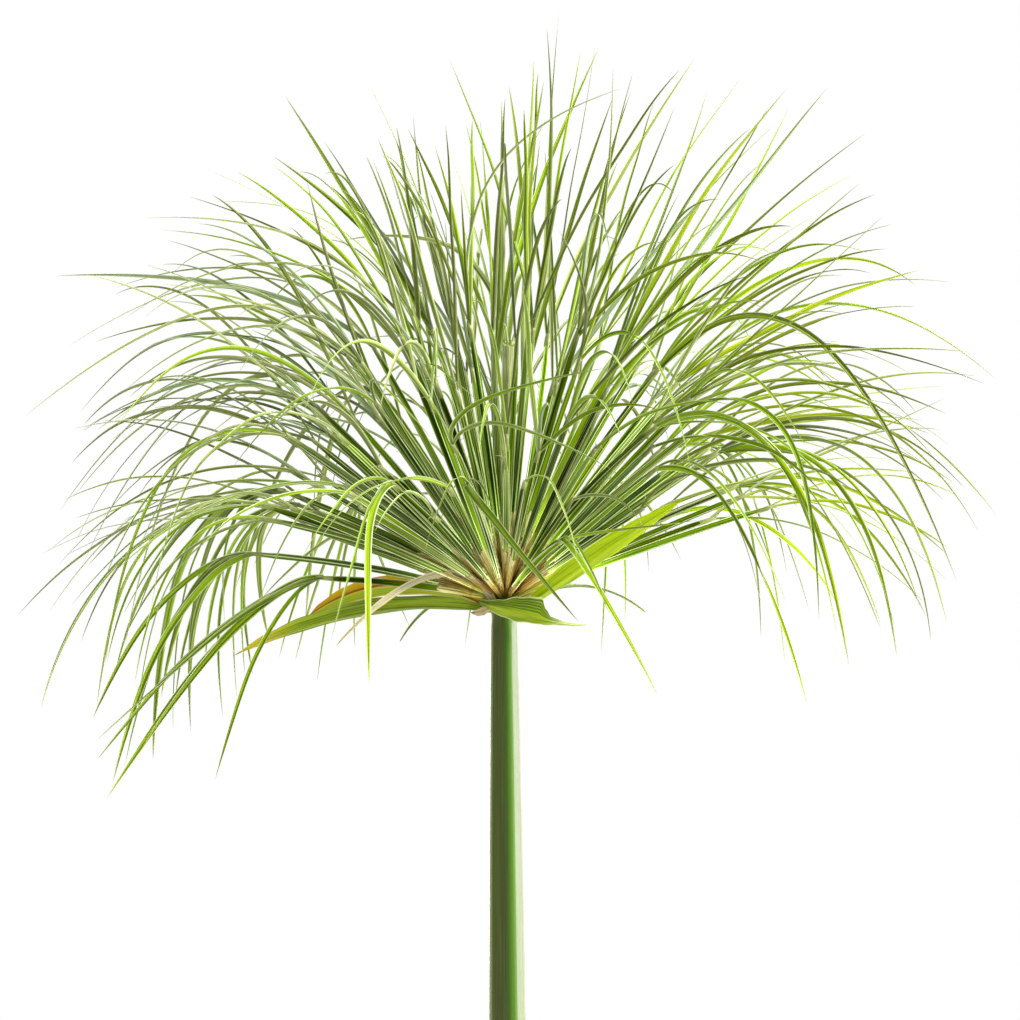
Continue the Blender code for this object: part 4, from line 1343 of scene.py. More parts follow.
RAYS = (
    # Left side, from the lowest ray upwards
    Ray((-91, 10), -60, ((-205, -72, 0.25, 2.8), (-199, -100, 0.25, 2.8), (-145, -91, 0.25, 1.6)),
        ((-204, -81, 0.3, 2.2), (-182, -76, 0.3, 2.6))),
    Ray((-126, 22), 20, ((-196, -92, 0.35, 2.4), (-172, -50, 0.4, 2.4), (-157, -68, 0.4, 1.8)),
        ((-206, -60, 0.4, 2.6), (-190, -84, 0.35, 1.4))),
    Ray((-121, 46), -30, ((-232, -55, 0.58, 2.6), (-204, -54, 0.55, 1.8), (-199, -32, 0.55, 1.0)),
        ((-212, -22, 0.58, 1.3),)),
    Ray((-117, 39), -62, ((-192, -24, 0.5, 1.0), (-185, -42, 0.5, 1.6), (-183, -53, 0.5, 1.2))),
    Ray((-110, 53), 40, ((-244, -9, 0.5, 0.9), (-228, -7, 0.5, 0.9), (-217, -4, 0.5, 1.4)),
        ((-176, -81, 0.45, 3.0), (-158, -44, 0.45, 3.0), (-140, -14, 0.5, 2.4),
         (-196, -42, 0.5, 1.4), (-166, -66, 0.45, 1.4))),
    Ray((-102, 46), 85, ((-141, -60, 0.5, 1.6), (-130, -39, 0.5, 1.8), (-126, -39, 0.6, 2.0)),
        ((-150, -34, 0.5, 3.2), (-118, -22, 0.5, 2.6), (-165, -52, 0.5, 3.0), (-134, -50, 0.5, 1.3))),
    Ray((-93, 95), -20, ((-215, 27, 0.6, 1.4), (-212, 15, 0.55, 1.2), (-216, 50, 0.55, 1.0))),
    Ray((-107, 80), -45, ((-202, 4, 0.55, 1.4), (-185, 19, 0.55, 1.2), (-177, -6, 0.5, 1.4)),
        ((-200, -34, 0.55, 1.3),)),
    Ray((-86, 101), 35, ((-223, 43, 0.6, 1.6), (-213, 83, 0.5, 0.8), (-196, 88, 0.5, 1.2)),
        ((-190, -24, 0.55, 2.4),)),
    Ray((-78, 120), -15, ((-241, 90, 0.5, 1.6), (-205, 128, 0.5, 1.4), (-192, 102, 0.6, 0.9))),
    Ray((-65, 124), 25, ((-218, 126, 0.7, 1.6), (-225, 161, 0.45, 2.6), (-195, 155, 0.55, 1.2))),
    Ray((-70, 115), -70, ((-99, 208, 0.5, 1.6), (-172, 157, 0.5, 1.2), (-169, 179, 0.55, 1.0))),
    Ray((-51, 129), -40, ((-180, 190, 0.5, 1.8), (-172, 184, 0.5, 0.9), (-190, 140, 0.7, 1.2))),
    Ray((-43, 131), 60, ((-146, 213, 0.4, 1.2), (-159, 201, 0.45, 0.8), (-143, 198, 0.6, 1.0))),
    Ray((-37, 134), -20, ((-116, 221, 0.4, 2.4), (-110, 251, 0.35, 2.4), (-66, 219, 0.4, 1.6))),
    # Top, from left to right
    Ray((-26, 135), 38, ((-67, 255, 0.4, 1.0), (-46, 242, 0.4, 1.4), (-46, 232, 0.3, 2.0))),
    Ray((-17, 134), -50, ((-35, 226, 0.4, 2.0), (59, 255, 0.65, 0.9), (-22, 205, 0.4, 1.4))),
    Ray((-1, 134), 50, ((47, 275, 0.45, 2.2), (21, 240, 0.5, 1.8), (-80, 179, 0.6, 2.0))),
    Ray((14, 133), -18, ((21, 285, 0.4, 2.2), (-28, 270, 0.4, 1.0), (38, 274, 0.4, 1.6))),
    Ray((21, 130), 72, ((95, 270, 0.5, 2.2), (27, 293, 0.3, 0.9), (45, 276, 0.3, 1.2))),
    Ray((36, 130), -58, ((54, 266, 0.35, 1.4), (64, 263, 0.35, 1.4), (85, 246, 0.5, 1.2))),
    Ray((47, 126), 22, ((101, 253, 0.45, 1.4), (118, 260, 0.45, 0.9), (134, 236, 0.4, 1.2))),
    # Right side, from the top downwards
    Ray((58, 122), -22, ((161, 255, 0.4, 2.4), (141, 255, 0.4, 2.2), (132, 246, 0.35, 1.8))),
    Ray((67, 118), 50, ((142, 245, 0.35, 2.2), (181, 233, 0.35, 2.0), (174, 212, 0.5, 1.2))),
    Ray((75, 112), -50, ((194, 187, 0.65, 1.4), (226, 8, 0.65, 2.6), (178, 208, 0.35, 1.6))),
    Ray((85, 106), 15, ((207, 164, 0.5, 2.6), (246, 109, 0.7, 1.8), (222, 158, 0.6, 1.0))),
    Ray((92, 99), -78, ((189, 191, 0.4, 1.6), (232, 123, 0.5, 1.4), (240, 107, 0.5, 2.8))),
    Ray((100, 88), -18, ((221, 92, 0.5, 2.0), (246, 41, 0.6, 1.6), (237, 33, 0.65, 1.0))),
    Ray((107, 79), 55, ((226, 53, 0.6, 0.9), (220, 106, 0.4, 1.4), (209, 89, 0.5, 1.0))),
    Ray((105, 72), -48, ((206, 69, 0.5, 2.6), (221, -13, 0.75, 1.8), (213, -22, 0.7, 2.2)),
        ((196, -30, 0.6, 2.2), (208, -6, 0.6, 1.5))),
    Ray((114, 55), 18, ((222, 21, 0.5, 2.0), (211, -10, 0.5, 1.4), (220, 100, 0.2, 1.8)),
        ((188, -14, 0.5, 1.4),)),
    Ray((75, 85), -88, ((157, -11, 0.75, 2.2), (188, -16, 0.6, 2.0), (195, -15, 0.65, 0.9)),
        ((172, -34, 0.6, 2.2), (166, -18, 0.6, 1.5))),
    Ray((75, 64), -106, ((151, -53, 0.5, 2.2), (128, -3, 0.45, 1.4), (141, -3, 0.45, 1.6))),
    # Front, bending over towards the viewer
    Ray((28, 29), -120, ((76, -48, 0.45, 2.6), (97, 39, 0.4, 1.0), (52, -8, 0.4, 1.2))),
    Ray((37, 118), -84, ((93, 64, 0.6, 1.6), (72, 174, 0.4, 1.4), (27, 184, 0.4, 1.6))),
    Ray((-56, 57), -115, ((-68, -43, 0.25, 3.0), (-87, -21, 0.3, 1.0), (-102, 19, 0.4, 1.4))),
    Ray((-18, 56), -126, ((37, -12, 0.2, 3.2), (-5, 43, 0.4, 1.0), (-40, 24, 0.4, 1.2))),
    Ray((-26, 76), -118, ((50, 115, 0.5, 2.0), (54, 64, 0.6, 1.8), (-39, 100, 0.4, 1.2))),
    Ray((-34, 106), -95, ((-20, 117, 0.5, 1.0), (-12, 97, 0.6, 1.2), (-50, 160, 0.4, 1.4))),
    Ray((-64, 96), -92, ((-37, 80, 0.5, 1.4), (-127, 134, 0.5, 1.8), (-137, 64, 0.6, 1.8))),
    # Back, seen between the others and below them
    Ray((-55, 60), 116, ((-94, -42, 0.55, 1.8), (-105, -32, 0.55, 1.6), (-47, -16, 0.55, 1.4)),
        ((-75, -25, 0.5, 2.4), (-113, -30, 0.5, 2.4), (-84, -8, 0.5, 2.2))),
    Ray((45, 60), 120, ((72, 12, 0.55, 1.6), (88, 19, 0.55, 1.6), (48, -28, 0.55, 1.4)),
        ((60, -12, 0.5, 1.8),)),
    Ray((85, 75), 92, ((141, 12, 0.55, 1.6), (177, 26, 0.55, 1.4), (118, 29, 0.55, 1.2)),
        ((128, -20, 0.5, 2.0), (152, -6, 0.5, 2.2), (140, -34, 0.5, 1.5))),
    Ray((-60, 100), 88, ((-150, 80, 0.55, 1.6), (-120, 140, 0.5, 1.4), (-95, 30, 0.6, 1.4)),
        ((-100, -14, 0.5, 2.6), (-135, 4, 0.5, 2.6))),
    Ray((-8, 62), 128, ((-20, -24, 0.55, 1.8), (12, 6, 0.55, 1.4), (-35, 30, 0.5, 1.4))),
    Ray((-22, 106), 98, ((-70, 130, 0.5, 1.6), (-30, 190, 0.4, 1.4), (-15, 90, 0.6, 1.4))),
    Ray((24, 100), 104, ((60, 140, 0.5, 1.8), (20, 180, 0.4, 1.4), (35, 70, 0.6, 1.4))),
    Ray((58, 104), 92, ((120, 120, 0.5, 1.6), (90, 190, 0.4, 1.6), (100, 70, 0.6, 1.4))),
)

SAMPLE_STEP = 0.0025


def samples(line: Sequence[Vector]) -> list[Vector]:
    """Points close together along a line, for measuring how near two lines come.

    Args:
        line: its points.

    Returns:
        The closer points, from the line's first to its last.
    """
    points = []
    for low, high in zip(line, line[1:]):
        count = max(1, math.ceil((high - low).length / SAMPLE_STEP))
        points += [low.lerp(high, step / count) for step in range(count)]
    return points + [line[-1]]


class Space:
    """The lines that already stand in the head, and how near a new one would come."""

    crowded_radius = 0.016

    def __init__(self, centre: Vector, points: Iterable[Vector]) -> None:
        """Start with the points that stand there."""
        self.centre = centre
        self.points: list[Vector] = []
        self.add(points)

    def add(self, points: Iterable[Vector]) -> None:
        """Stand more points in the head.

        Args:
            points: the points.
        """
        self.points += points
        self.tree = kdtree.KDTree(len(self.points))
        for number, point in enumerate(self.points):
            self.tree.insert(point, number)
        self.tree.balance()

    def nearest(self, points: Iterable[Vector]) -> float:
        """The least distance of points outside the crowded middle to what stands there."""
        return min((self.tree.find(point)[2] for point in points
                    if (point - self.centre).length > self.crowded_radius), default=1.0)


@dataclass
class RayPlan:
    """A ray's curves: its stalk, and each leaflet with its width in metres."""

    stalk: Bow
    leaflets: list[tuple[Bow, float]]

    def heading(self) -> Vector:
        """The way that the stalk arrives at its fork."""
        return (self.stalk.end - self.stalk.point(0.9)).normalized()


@dataclass
class HeadPlanner:
    """Finds where each ray and leaflet runs, clear of each other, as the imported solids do."""

    culm: Culm
    clearance: float = 0.0043
    least_spread: float = math.radians(14.0)
    spread_rounds: int = 80
    sag: float = math.radians(7.0)
    flattest: float = math.radians(2.0)
    steepest: float = math.radians(88.0)
    stiffness: float = 0.45
    depth_step: float = 4.0
    stalk_tries: int = 13
    leaflet_tries: int = 41
    stalk_steps: int = 12
    leaflet_steps: int = 24
    depth_growth: float = 1.75
    depth_fan: float = 10.0
    lean: float = 0.2
    splay: float = 0.16
    fullness: float = 1.38

    def start_direction(self, ray: Ray) -> Vector:
        """The way a ray leaves the dome: a little steeper than its fork lies, because it sags.

        Args:
            ray: the ray.

        Returns:
            The direction, of unit length.
        """
        aim = seen_at(*ray.fork, ray.depth) - self.culm.dome_centre()
        level = math.hypot(aim.x, aim.y)
        rise = math.atan2(aim.z, level)
        rise = clamp(rise + self.sag * math.cos(rise), self.flattest, self.steepest)
        return Vector((aim.x / level * math.cos(rise), aim.y / level * math.cos(rise), math.sin(rise)))

    def spread(self, directions: Iterable[Vector]) -> list[Vector]:
        """Turn directions apart until no two are closer than the least spread.

        Args:
            directions: the directions as wanted.

        Returns:
            The directions as turned, in the same order.
        """
        spread = [direction.normalized() for direction in directions]
        for i, j in [(i, j) for i in range(len(spread)) for j in range(i)] * self.spread_rounds:
            apart = spread[i].angle(spread[j])
            if apart < self.least_spread:
                axis = spread[j].cross(spread[i])
                push = 0.5 * (self.least_spread - apart)
                spread[i] = Quaternion(axis, push) @ spread[i]
                spread[j] = Quaternion(axis, -push) @ spread[j]
        return spread

    def offsets(self, count: int) -> Iterator[float]:
        """Nothing, then growing steps back and forward by turns, in millimetres."""
        return (self.depth_step * ((turn + 1) // 2) * (1 if turn % 2 else -1) for turn in range(count))

    def clearest(self, bows: Iterable[Bow], steps: int, space: Space) -> Bow:
        """The first of some curves that clears what stands, or else the one with the most room.

        Args:
            bows: the curves, tried in turn.
            steps: how many steps each is measured in.
            space: what stands there.

        Returns:
            The curve.
        """
        best_room, best = -1.0, None
        for bow in bows:
            room = space.nearest(samples(bow.points(steps)))
            if room > best_room:
                best_room, best = room, bow
            if room > self.clearance:
                break
        return best

    def stalk(self, ray: Ray, direction: Vector, offset: float) -> Bow:
        """A ray's stalk from the dome to its fork.

        Args:
            ray: the ray.
            direction: the way it leaves the dome.
            offset: how far back its fork is moved, in millimetres.

        Returns:
            The curve.
        """
        base = self.culm.dome_centre() + direction * (self.culm.dome_radius + GAP)
        fork = seen_at(*ray.fork, ray.depth + offset)
        return Bow(base, base + direction * (self.stiffness * (fork - base).length), fork)

    def leaflet(self, fork: Vector, heading: Vector, splay: Vector, spec: Leaflet, depth: float) -> Bow:
        """A leaflet from its fork to its tip, bending over under its weight.

        Args:
            fork: where it starts.
            heading: the way its stalk arrives there.
            splay: how far it starts aside from that.
            spec: its place and shape as the ray gives them.
            depth: how far back its tip is, in millimetres.

        Returns:
            The curve.
        """
        across, up, arch, _ = spec
        tip = seen_at(across, up, depth)
        span = tip - fork
        lead = (heading.lerp(span.normalized(), self.lean) + splay).normalized()
        return Bow(fork, fork + lead * (arch * span.length), tip)

    def tip_depth(self, fork: Vector) -> float:
        """How far back the tips of a ray's leaflets lie, in millimetres."""
        return (fork.y - CROWN.y) / MM * self.depth_growth

    def plan(self, rays: Sequence[Ray], bracts: Sequence[Bract]) -> list[RayPlan]:
        """Place every ray in turn, and then add its further leaflets behind the others.

        Args:
            rays: the rays, in the solids' order.
            bracts: the leaves that they keep clear of.

        Returns:
            One plan for each ray.
        """
        space = Space(self.culm.dome_centre(), [point for bract in bracts for point in bract.solid_points()])
        plans = []
        for ray, direction in zip(rays, self.spread(map(self.start_direction, rays))):
            tries = (self.stalk(ray, direction, offset) for offset in self.offsets(self.stalk_tries))
            stalk = self.clearest(tries, self.stalk_steps, space)
            line = stalk.points(self.stalk_steps)
            fork, stood, leaflets = line[-1], samples(line), []
            heading = (fork - line[-2]).normalized()
            aside = heading.orthogonal().normalized()
            for number, spec in enumerate(ray.leaflets):
                turn = TURN * number / len(ray.leaflets)
                splay = around(aside, heading.cross(aside), turn) * self.splay
                depth = self.tip_depth(fork) + self.depth_fan * (number - 1)
                tries = (self.leaflet(fork, heading, splay, spec, depth + offset)
                         for offset in self.offsets(self.leaflet_tries))
                bow = self.clearest(tries, self.leaflet_steps, space)
                leaflets.append((bow, spec[3] * self.fullness * MM))
                stood += samples(bow.points(self.leaflet_steps))
            space.add(stood)
            plans.append(RayPlan(stalk, leaflets))
        for ray, plan in zip(rays, plans):
            fork = plan.stalk.end
            for spec in ray.droops:
                bow = self.leaflet(fork, plan.heading(), Vector(), spec, self.tip_depth(fork))
                plan.leaflets.append((bow, spec[3] * self.fullness * MM))
        return plans


@dataclass
class RayMaker:
    """Makes one ray as a single piece: sheath, stalk, pale node, leaflets and their scales."""

    materials: Sequence[Material]
    stalk_widths: Stops = ((0.0, 0.0017), (0.17, 0.0027), (0.45, 0.0037), (0.9, 0.0031), (1.0, 0.0019))
    stalk_steps: int = 22
    valley: float = 0.60
    leaflet_steps: int = 40
    waver: float = 0.012
    start_width: float = 0.76
    start_run: float = 0.12
    hanging_width: float = 1.18
    tip_powers: tuple[float, float] = (2.8, 5.5)
    gutter: tuple[float, ...] = (-1.0, -0.5, 0.0, 0.5, 1.0)
    thickness: float = 0.09
    least_thickness: float = 0.00016
    roll: tuple[float, float] = (-32.0, 32.0)
    twist: tuple[float, float] = (-48.0, 48.0)
    fold: tuple[float, float] = (26.0, 50.0)
    root_length: float = 0.0008
    node_length: float = 0.0060
    node_radii: Spot = (0.00118, 0.00112, 0.00090)
    node_slant: float = 0.0012
    node_lengths: tuple[float, float] = (0.7, 1.2)
    node_mouth: float = 0.003
    head_width: float = 0.250
    head_depth: float = 0.200
    fullness: tuple[float, float] = (1.36, 1.0)
    flat_reach: float = 0.125
    least_width: float = 0.0017
    sheath_reach: tuple[float, float] = (0.012, 0.046)
    longest_sheath: float = 0.42
    sheath_room: float = 0.0001
    sheath_slant: tuple[float, float] = (0.004, 0.010)
    scale_counts: tuple[int, int] = (1, 3)
    scale_lengths: tuple[float, float] = (0.005, 0.010)
    scale_radius: float = 0.00062
    cool_share: float = 0.16
    cooler: float = 0.60
    droop_run: float = 0.03
    front_from: float = 0.05
    front_run: float = 0.04
    # Painted light: leaflets that hang in front or below the crown are made yellower and brighter, where they
    # lie in shade
    low_painted_warmth: tuple[float, float] = (0.74, 0.6)
    front_painted_warmth: tuple[float, float] = (0.68, 0.8)
    droop_painted_brightness: tuple[float, float] = (0.9, 0.75)

    def warmth(self, point: Vector, chance: random.Random) -> float:
        """How yellow a strand is: more to the right, in front and low down; some are blue-green. The
        yellowing to the right is painted light, from the light that falls on and through the head from the
        right.

        Args:
            point: a point of the strand.
            chance: where its own share comes from.

        Returns:
            The warmth, 0 to 1.
        """
        across = (point.x - CROWN.x) / self.head_width
        behind = (point.y - CROWN.y) / self.head_depth
        low = clamp((CROWN.z + 0.030 - point.z) / 0.070)
        # Painted light: the term for the right side paints the glow of the light from the right
        warmth = 0.60 + 0.42 * across - 0.36 * clamp(behind) + 0.30 * low + chance.uniform(-0.20, 0.20)
        return clamp(warmth - (self.cooler if chance.random() < self.cool_share else 0.0))

    def stalk_radius(self, share: float, thin: float) -> float:
        """The stalk's radius at its corners, at a share of its run."""
        return between(self.stalk_widths, share) * thin / math.sqrt(3.0)

    def stalk(self, draft: Draft, bow: Bow, tint: float, warmth: float, chance: random.Random,
              thin: float = 1.0) -> list[Vector]:
        """Add the three-sided stalk.

        Args:
            draft: where it goes.
            bow: its centre curve.
            tint: its strand's tint.
            warmth: its strand's warmth.
            chance: where its twist comes from.
            thin: its width, as a share of the usual.

        Returns:
            Its centre line.
        """
        line = bow.points(self.stalk_steps)
        ways = headings(line)
        side = squared(Quaternion(ways[0], chance.uniform(*ANY_TURN)) @ ways[0].orthogonal(), ways[0])
        twist = chance.uniform(-0.5, 0.5)
        along = [step / self.stalk_steps for step in range(self.stalk_steps + 1)]
        rings = []
        for share, point, way in zip(along, line, ways):
            side = squared(side, way)
            turned = Quaternion(way, twist * share) @ side
            radii = [self.stalk_radius(share, thin) * height for height in (1.0, self.valley) * 3]
            rings.append([point + around(turned, way.cross(turned), TURN * corner / 6.0) * radius
                          for corner, radius in enumerate(radii)])
        draft.strand(rings, Skin.STALK.value, along, (1.0, 0.0, -1.0, 0.0, 1.0, 0.0), tint, warmth)
        return line

    def sleeve(self, draft: Draft, line: Sequence[Vector], run: tuple[float, float], radii: Sequence[float],
               skin: Skin, slant: float, tint: float, chance: random.Random, steps: int = 9) -> None:
        """Add a thin papery sleeve round a stretch of a line.

        Args:
            draft: where it goes.
            line: the centre line.
            run: where it begins and ends, as shares of the line.
            radii: its radius at the start, the middle and the mouth.
            skin: its surface.
            slant: how much longer one side of its mouth is, in metres.
            tint: its tint.
            chance: where its unevenness comes from.
            steps: its rings, less one; a last narrower ring turns its mouth inwards.
        """
        last = len(line) - 1
        turn_of_slant = chance.uniform(*ANY_TURN)
        stops = tuple(zip((0.0, 0.5, 1.0), radii))
        along = [step / steps for step in range(steps + 1)] + [1.0]
        rings, side = [], None
        for number, share in enumerate(along):
            spot = mix(*run, share) * last
            low = min(last - 1, max(0, math.floor(spot)))
            centre = line[low].lerp(line[low + 1], spot - low)
            way = (line[low + 1] - line[low]).normalized()
            side = squared(side if side is not None else way.orthogonal(), way)
            radius = between(stops, share) * (0.55 if number > steps else 1.0)
            ring = []
            for corner in range(8):
                turn = TURN * corner / 8.0
                uneven = 1.0 + 0.10 * noise.noise(Vector((corner * 1.3, share * 3.0, turn_of_slant * 9.0)))
                point = centre + around(side, way.cross(side), turn) * (radius * uneven)
                ring.append(point + way * (slant * share * share * math.cos(turn - turn_of_slant)))
            rings.append(ring)
        draft.strand(rings, skin.value, along, (0.0, 0.5, 1.0, 1.5, 2.0, 1.5, 1.0, 0.5), tint)

    def leaflet(self, draft: Draft, bow: Bow, width: float, tint: float, warmth: float, chance: random.Random,
                facing: float) -> None:
        """Add one long folded leaflet that narrows to a point. One that hangs stays wide for longer.

        Args:
            draft: where it goes.
            bow: its centre curve.
            width: its widest, in metres.
            tint: its strand's tint.
            warmth: its strand's warmth.
            chance: where its twist and waver come from.
            facing: 0 to lie level across its run, 1 to turn its broad side to the viewer.
        """
        hanging = clamp((CROWN.z + 0.01 - bow.end.z) / self.droop_run)
        tip_power = mix(*self.tip_powers, hanging)
        width *= mix(1.0, self.hanging_width, hanging)
        line = bow.points(self.leaflet_steps)
        phase = chance.uniform(0.0, 100.0)
        along = [step / self.leaflet_steps for step in range(self.leaflet_steps)]
        for share, point in zip(along + [1.0], line):
            drift = noise.noise_vector(Vector((share * 2.6, phase, 0.0)))
            point += drift * (self.waver * (bow.end - bow.start).length * math.sin(math.pi * share))
        ways = headings(line)
        limits = (self.roll, self.twist, self.fold)
        roll, twist, fold = (math.radians(chance.uniform(*turns)) for turns in limits)
        rings, side = [], None
        for share, point, way in zip(along, line, ways):
            shown, level = way.cross(AWAY), way.cross(UP)
            if shown.dot(level) < 0.0:
                shown = -shown
            wanted = squared(shown.normalized() * facing + level.normalized() * (1.0 - facing), way)
            if side is not None:
                wanted = squared(side, way).lerp(wanted, 0.25 if wanted.dot(side) > 0.0 else 0.0)
            side = squared(wanted, way)
            turned = Quaternion(way, roll + twist * share) @ side
            rise = turned.cross(way)
            if share == 0.0 and rise.z < 0.0:
                fold = -fold
            start = mix(self.start_width, 1.0, clamp(share / self.start_run))
            taper = max(0.03, min(start, (1.0 - share ** tip_power) ** 0.85))
            half = 0.5 * width * taper
            closed = fold * mix(1.35, 0.85, clamp(share * 4.0))
            thickness = max(self.least_thickness, self.thickness * width * taper)
            thick = rise * (0.5 * thickness * (1.0 if fold > 0.0 else -1.0))
            sheet = [point + turned * (spot * half * math.cos(closed))
                     + rise * ((abs(spot) ** 1.35) * half * math.sin(closed)) for spot in self.gutter]
            over, under = ([middle + grow for middle in sheet[1:-1]] for grow in (thick, -thick))
            rings.append([sheet[0], *over, sheet[-1], *under[::-1]])
        across = self.gutter + self.gutter[-2:0:-1]
        draft.strand(rings, Skin.LEAFLET.value, along, across, tint, warmth,
                     line[-1], line[0] - ways[0] * self.root_length)

    def scale(self, draft: Draft, point: Vector, way: Vector, length: float, chance: random.Random) -> None:
        """Add a small pale awl-shaped scale at a node.

        Args:
            draft: where it goes.
            point: where it starts.
            way: the way it starts.
            length: how long it is.
            chance: where its side and its tint come from.
        """
        out = (Quaternion(way, chance.uniform(*ANY_TURN)) @ way.orthogonal()).normalized()
        bow = Bow(point, point + way * length * 0.7, point + way * length * 0.85 + out * length * 0.6)
        line, rings = bow.points(6), []
        for index, heading in enumerate(headings(line)[:-1]):
            side = squared(out.cross(way), heading)
            over = heading.cross(side)
            radius = self.scale_radius * (1.0 - index / 6.5)
            rings.append([line[index] + side * radius, line[index] + over * radius * 0.5,
                          line[index] - side * radius, line[index] - over * radius * 0.5])
        draft.strand(rings, Skin.NODE.value, [index / 6.0 for index in range(6)], (1.0, 0.0, 1.0, 0.0),
                     chance.random(), tip=line[-1])

    def build(self, name: str, plan: RayPlan, seed: int, facing: tuple[float, float] = (0.35, 0.95),
              thin: float = 1.0) -> Piece:
        """Make a ray.

        Args:
            name: the piece's name.
            plan: its curves.
            seed: what its chance starts from.
            facing: the range of its leaflets' facing.
            thin: its stalk's width, as a share of the usual.

        Returns:
            The piece.
        """
        chance, draft = random.Random(seed), Draft()
        tint = chance.random()
        line = self.stalk(draft, plan.stalk, tint, self.warmth(plan.stalk.end, chance), chance, thin)
        length = sum((high - low).length for low, high in zip(line, line[1:]))
        reach = min(self.longest_sheath, chance.uniform(*self.sheath_reach) / length)
        radii = [self.stalk_radius(share * reach, thin) + self.sheath_room for share in (0.0, 0.5, 1.0)]
        slant = chance.uniform(*self.sheath_slant)
        self.sleeve(draft, line, (0.0, reach), radii, Skin.SHEATH, slant, chance.random(), chance)
        node = self.node_length * chance.uniform(*self.node_lengths) / length
        way = (line[-1] - line[-2]).normalized()
        last = len(line) - 1
        longer, run = line + [line[-1] + way * self.node_mouth], ((last * (1.0 - node)) / (last + 1), 1.0)
        self.sleeve(draft, longer, run, self.node_radii, Skin.NODE, self.node_slant, chance.random(),
                    chance, 6)
        level = math.hypot(plan.stalk.end.x - CROWN.x, plan.stalk.end.y - CROWN.y)
        full = mix(*self.fullness, clamp(level / self.flat_reach))
        for bow, width in plan.leaflets:
            warmth, tint = self.warmth(bow.point(0.5), chance), chance.random()
            droop = clamp((bow.point(0.0).z - bow.end.z) / self.droop_run)
            front = droop * clamp((CROWN.y - self.front_from - bow.point(0.7).y) / self.front_run)
            low = clamp((CROWN.z - bow.end.z) / self.droop_run)
            # Painted light: hanging leaflets in front and low down are brightened and yellowed against their
            # shade
            for (wanted, share), how_much in ((self.low_painted_warmth, low), (self.front_painted_warmth, front)):
                warmth = mix(warmth, wanted, share * how_much)
            tint = mix(tint, self.droop_painted_brightness[0], self.droop_painted_brightness[1] * max(front, low))
            self.leaflet(draft, bow, max(width, self.least_width) * full, tint, warmth, chance,
                         chance.uniform(*facing))
        for _ in range(chance.randint(*self.scale_counts)):
            self.scale(draft, line[-1], way, chance.uniform(*self.scale_lengths), chance)
        return draft.piece(name, self.materials)


# The head's outline as seen, in millimetres across and up from the crown
OUTLINE = ((-230, -51), (-240, -1), (-222, 49), (-215, 79), (-232, 99), (-202, 134), (-215, 163), (-170, 174),
           (-172, 191), (-145, 213), (-110, 219), (-107, 244), (-67, 224), (-60, 249), (-22, 244), (17, 276),
           (47, 271), (92, 266), (117, 251), (155, 251), (177, 229), (190, 191), (202, 163), (220, 139),
           (240, 110), (225, 89), (242, 44), (222, 11), (210, -18), (182, -1), (150, -46), (127, 19),
           (92, 39), (47, 19), (2, -1), (-52, -1), (-67, -31), (-102, -36), (-142, -81), (-195, -93))
HEAD_REACH = (0.245, 0.222)


def inside_outline(point: Vector) -> bool:
    """Whether a point lies in the head's outline and in its depth.

    Args:
        point: the point in space.

    Returns:
        True where it does.
    """
    grow = 1.0 + (point.y - CROWN.y) / MM / EYE_DISTANCE
    across = EYE_SIDE + ((point.x - CROWN.x) / MM - EYE_SIDE) / grow
    up = EYE_RISE + ((point.z - CROWN.z) / MM - EYE_RISE) / grow
    inside = False
    for (x1, y1), (x2, y2) in zip(OUTLINE, OUTLINE[1:] + OUTLINE[:1]):
        if (y1 > up) != (y2 > up) and across < x1 + (x2 - x1) * (up - y1) / (y2 - y1):
            inside = not inside
    reach = math.hypot((point.x - CROWN.x) / HEAD_REACH[0], (point.y - CROWN.y) / HEAD_REACH[1])
    return inside and reach < 1.0


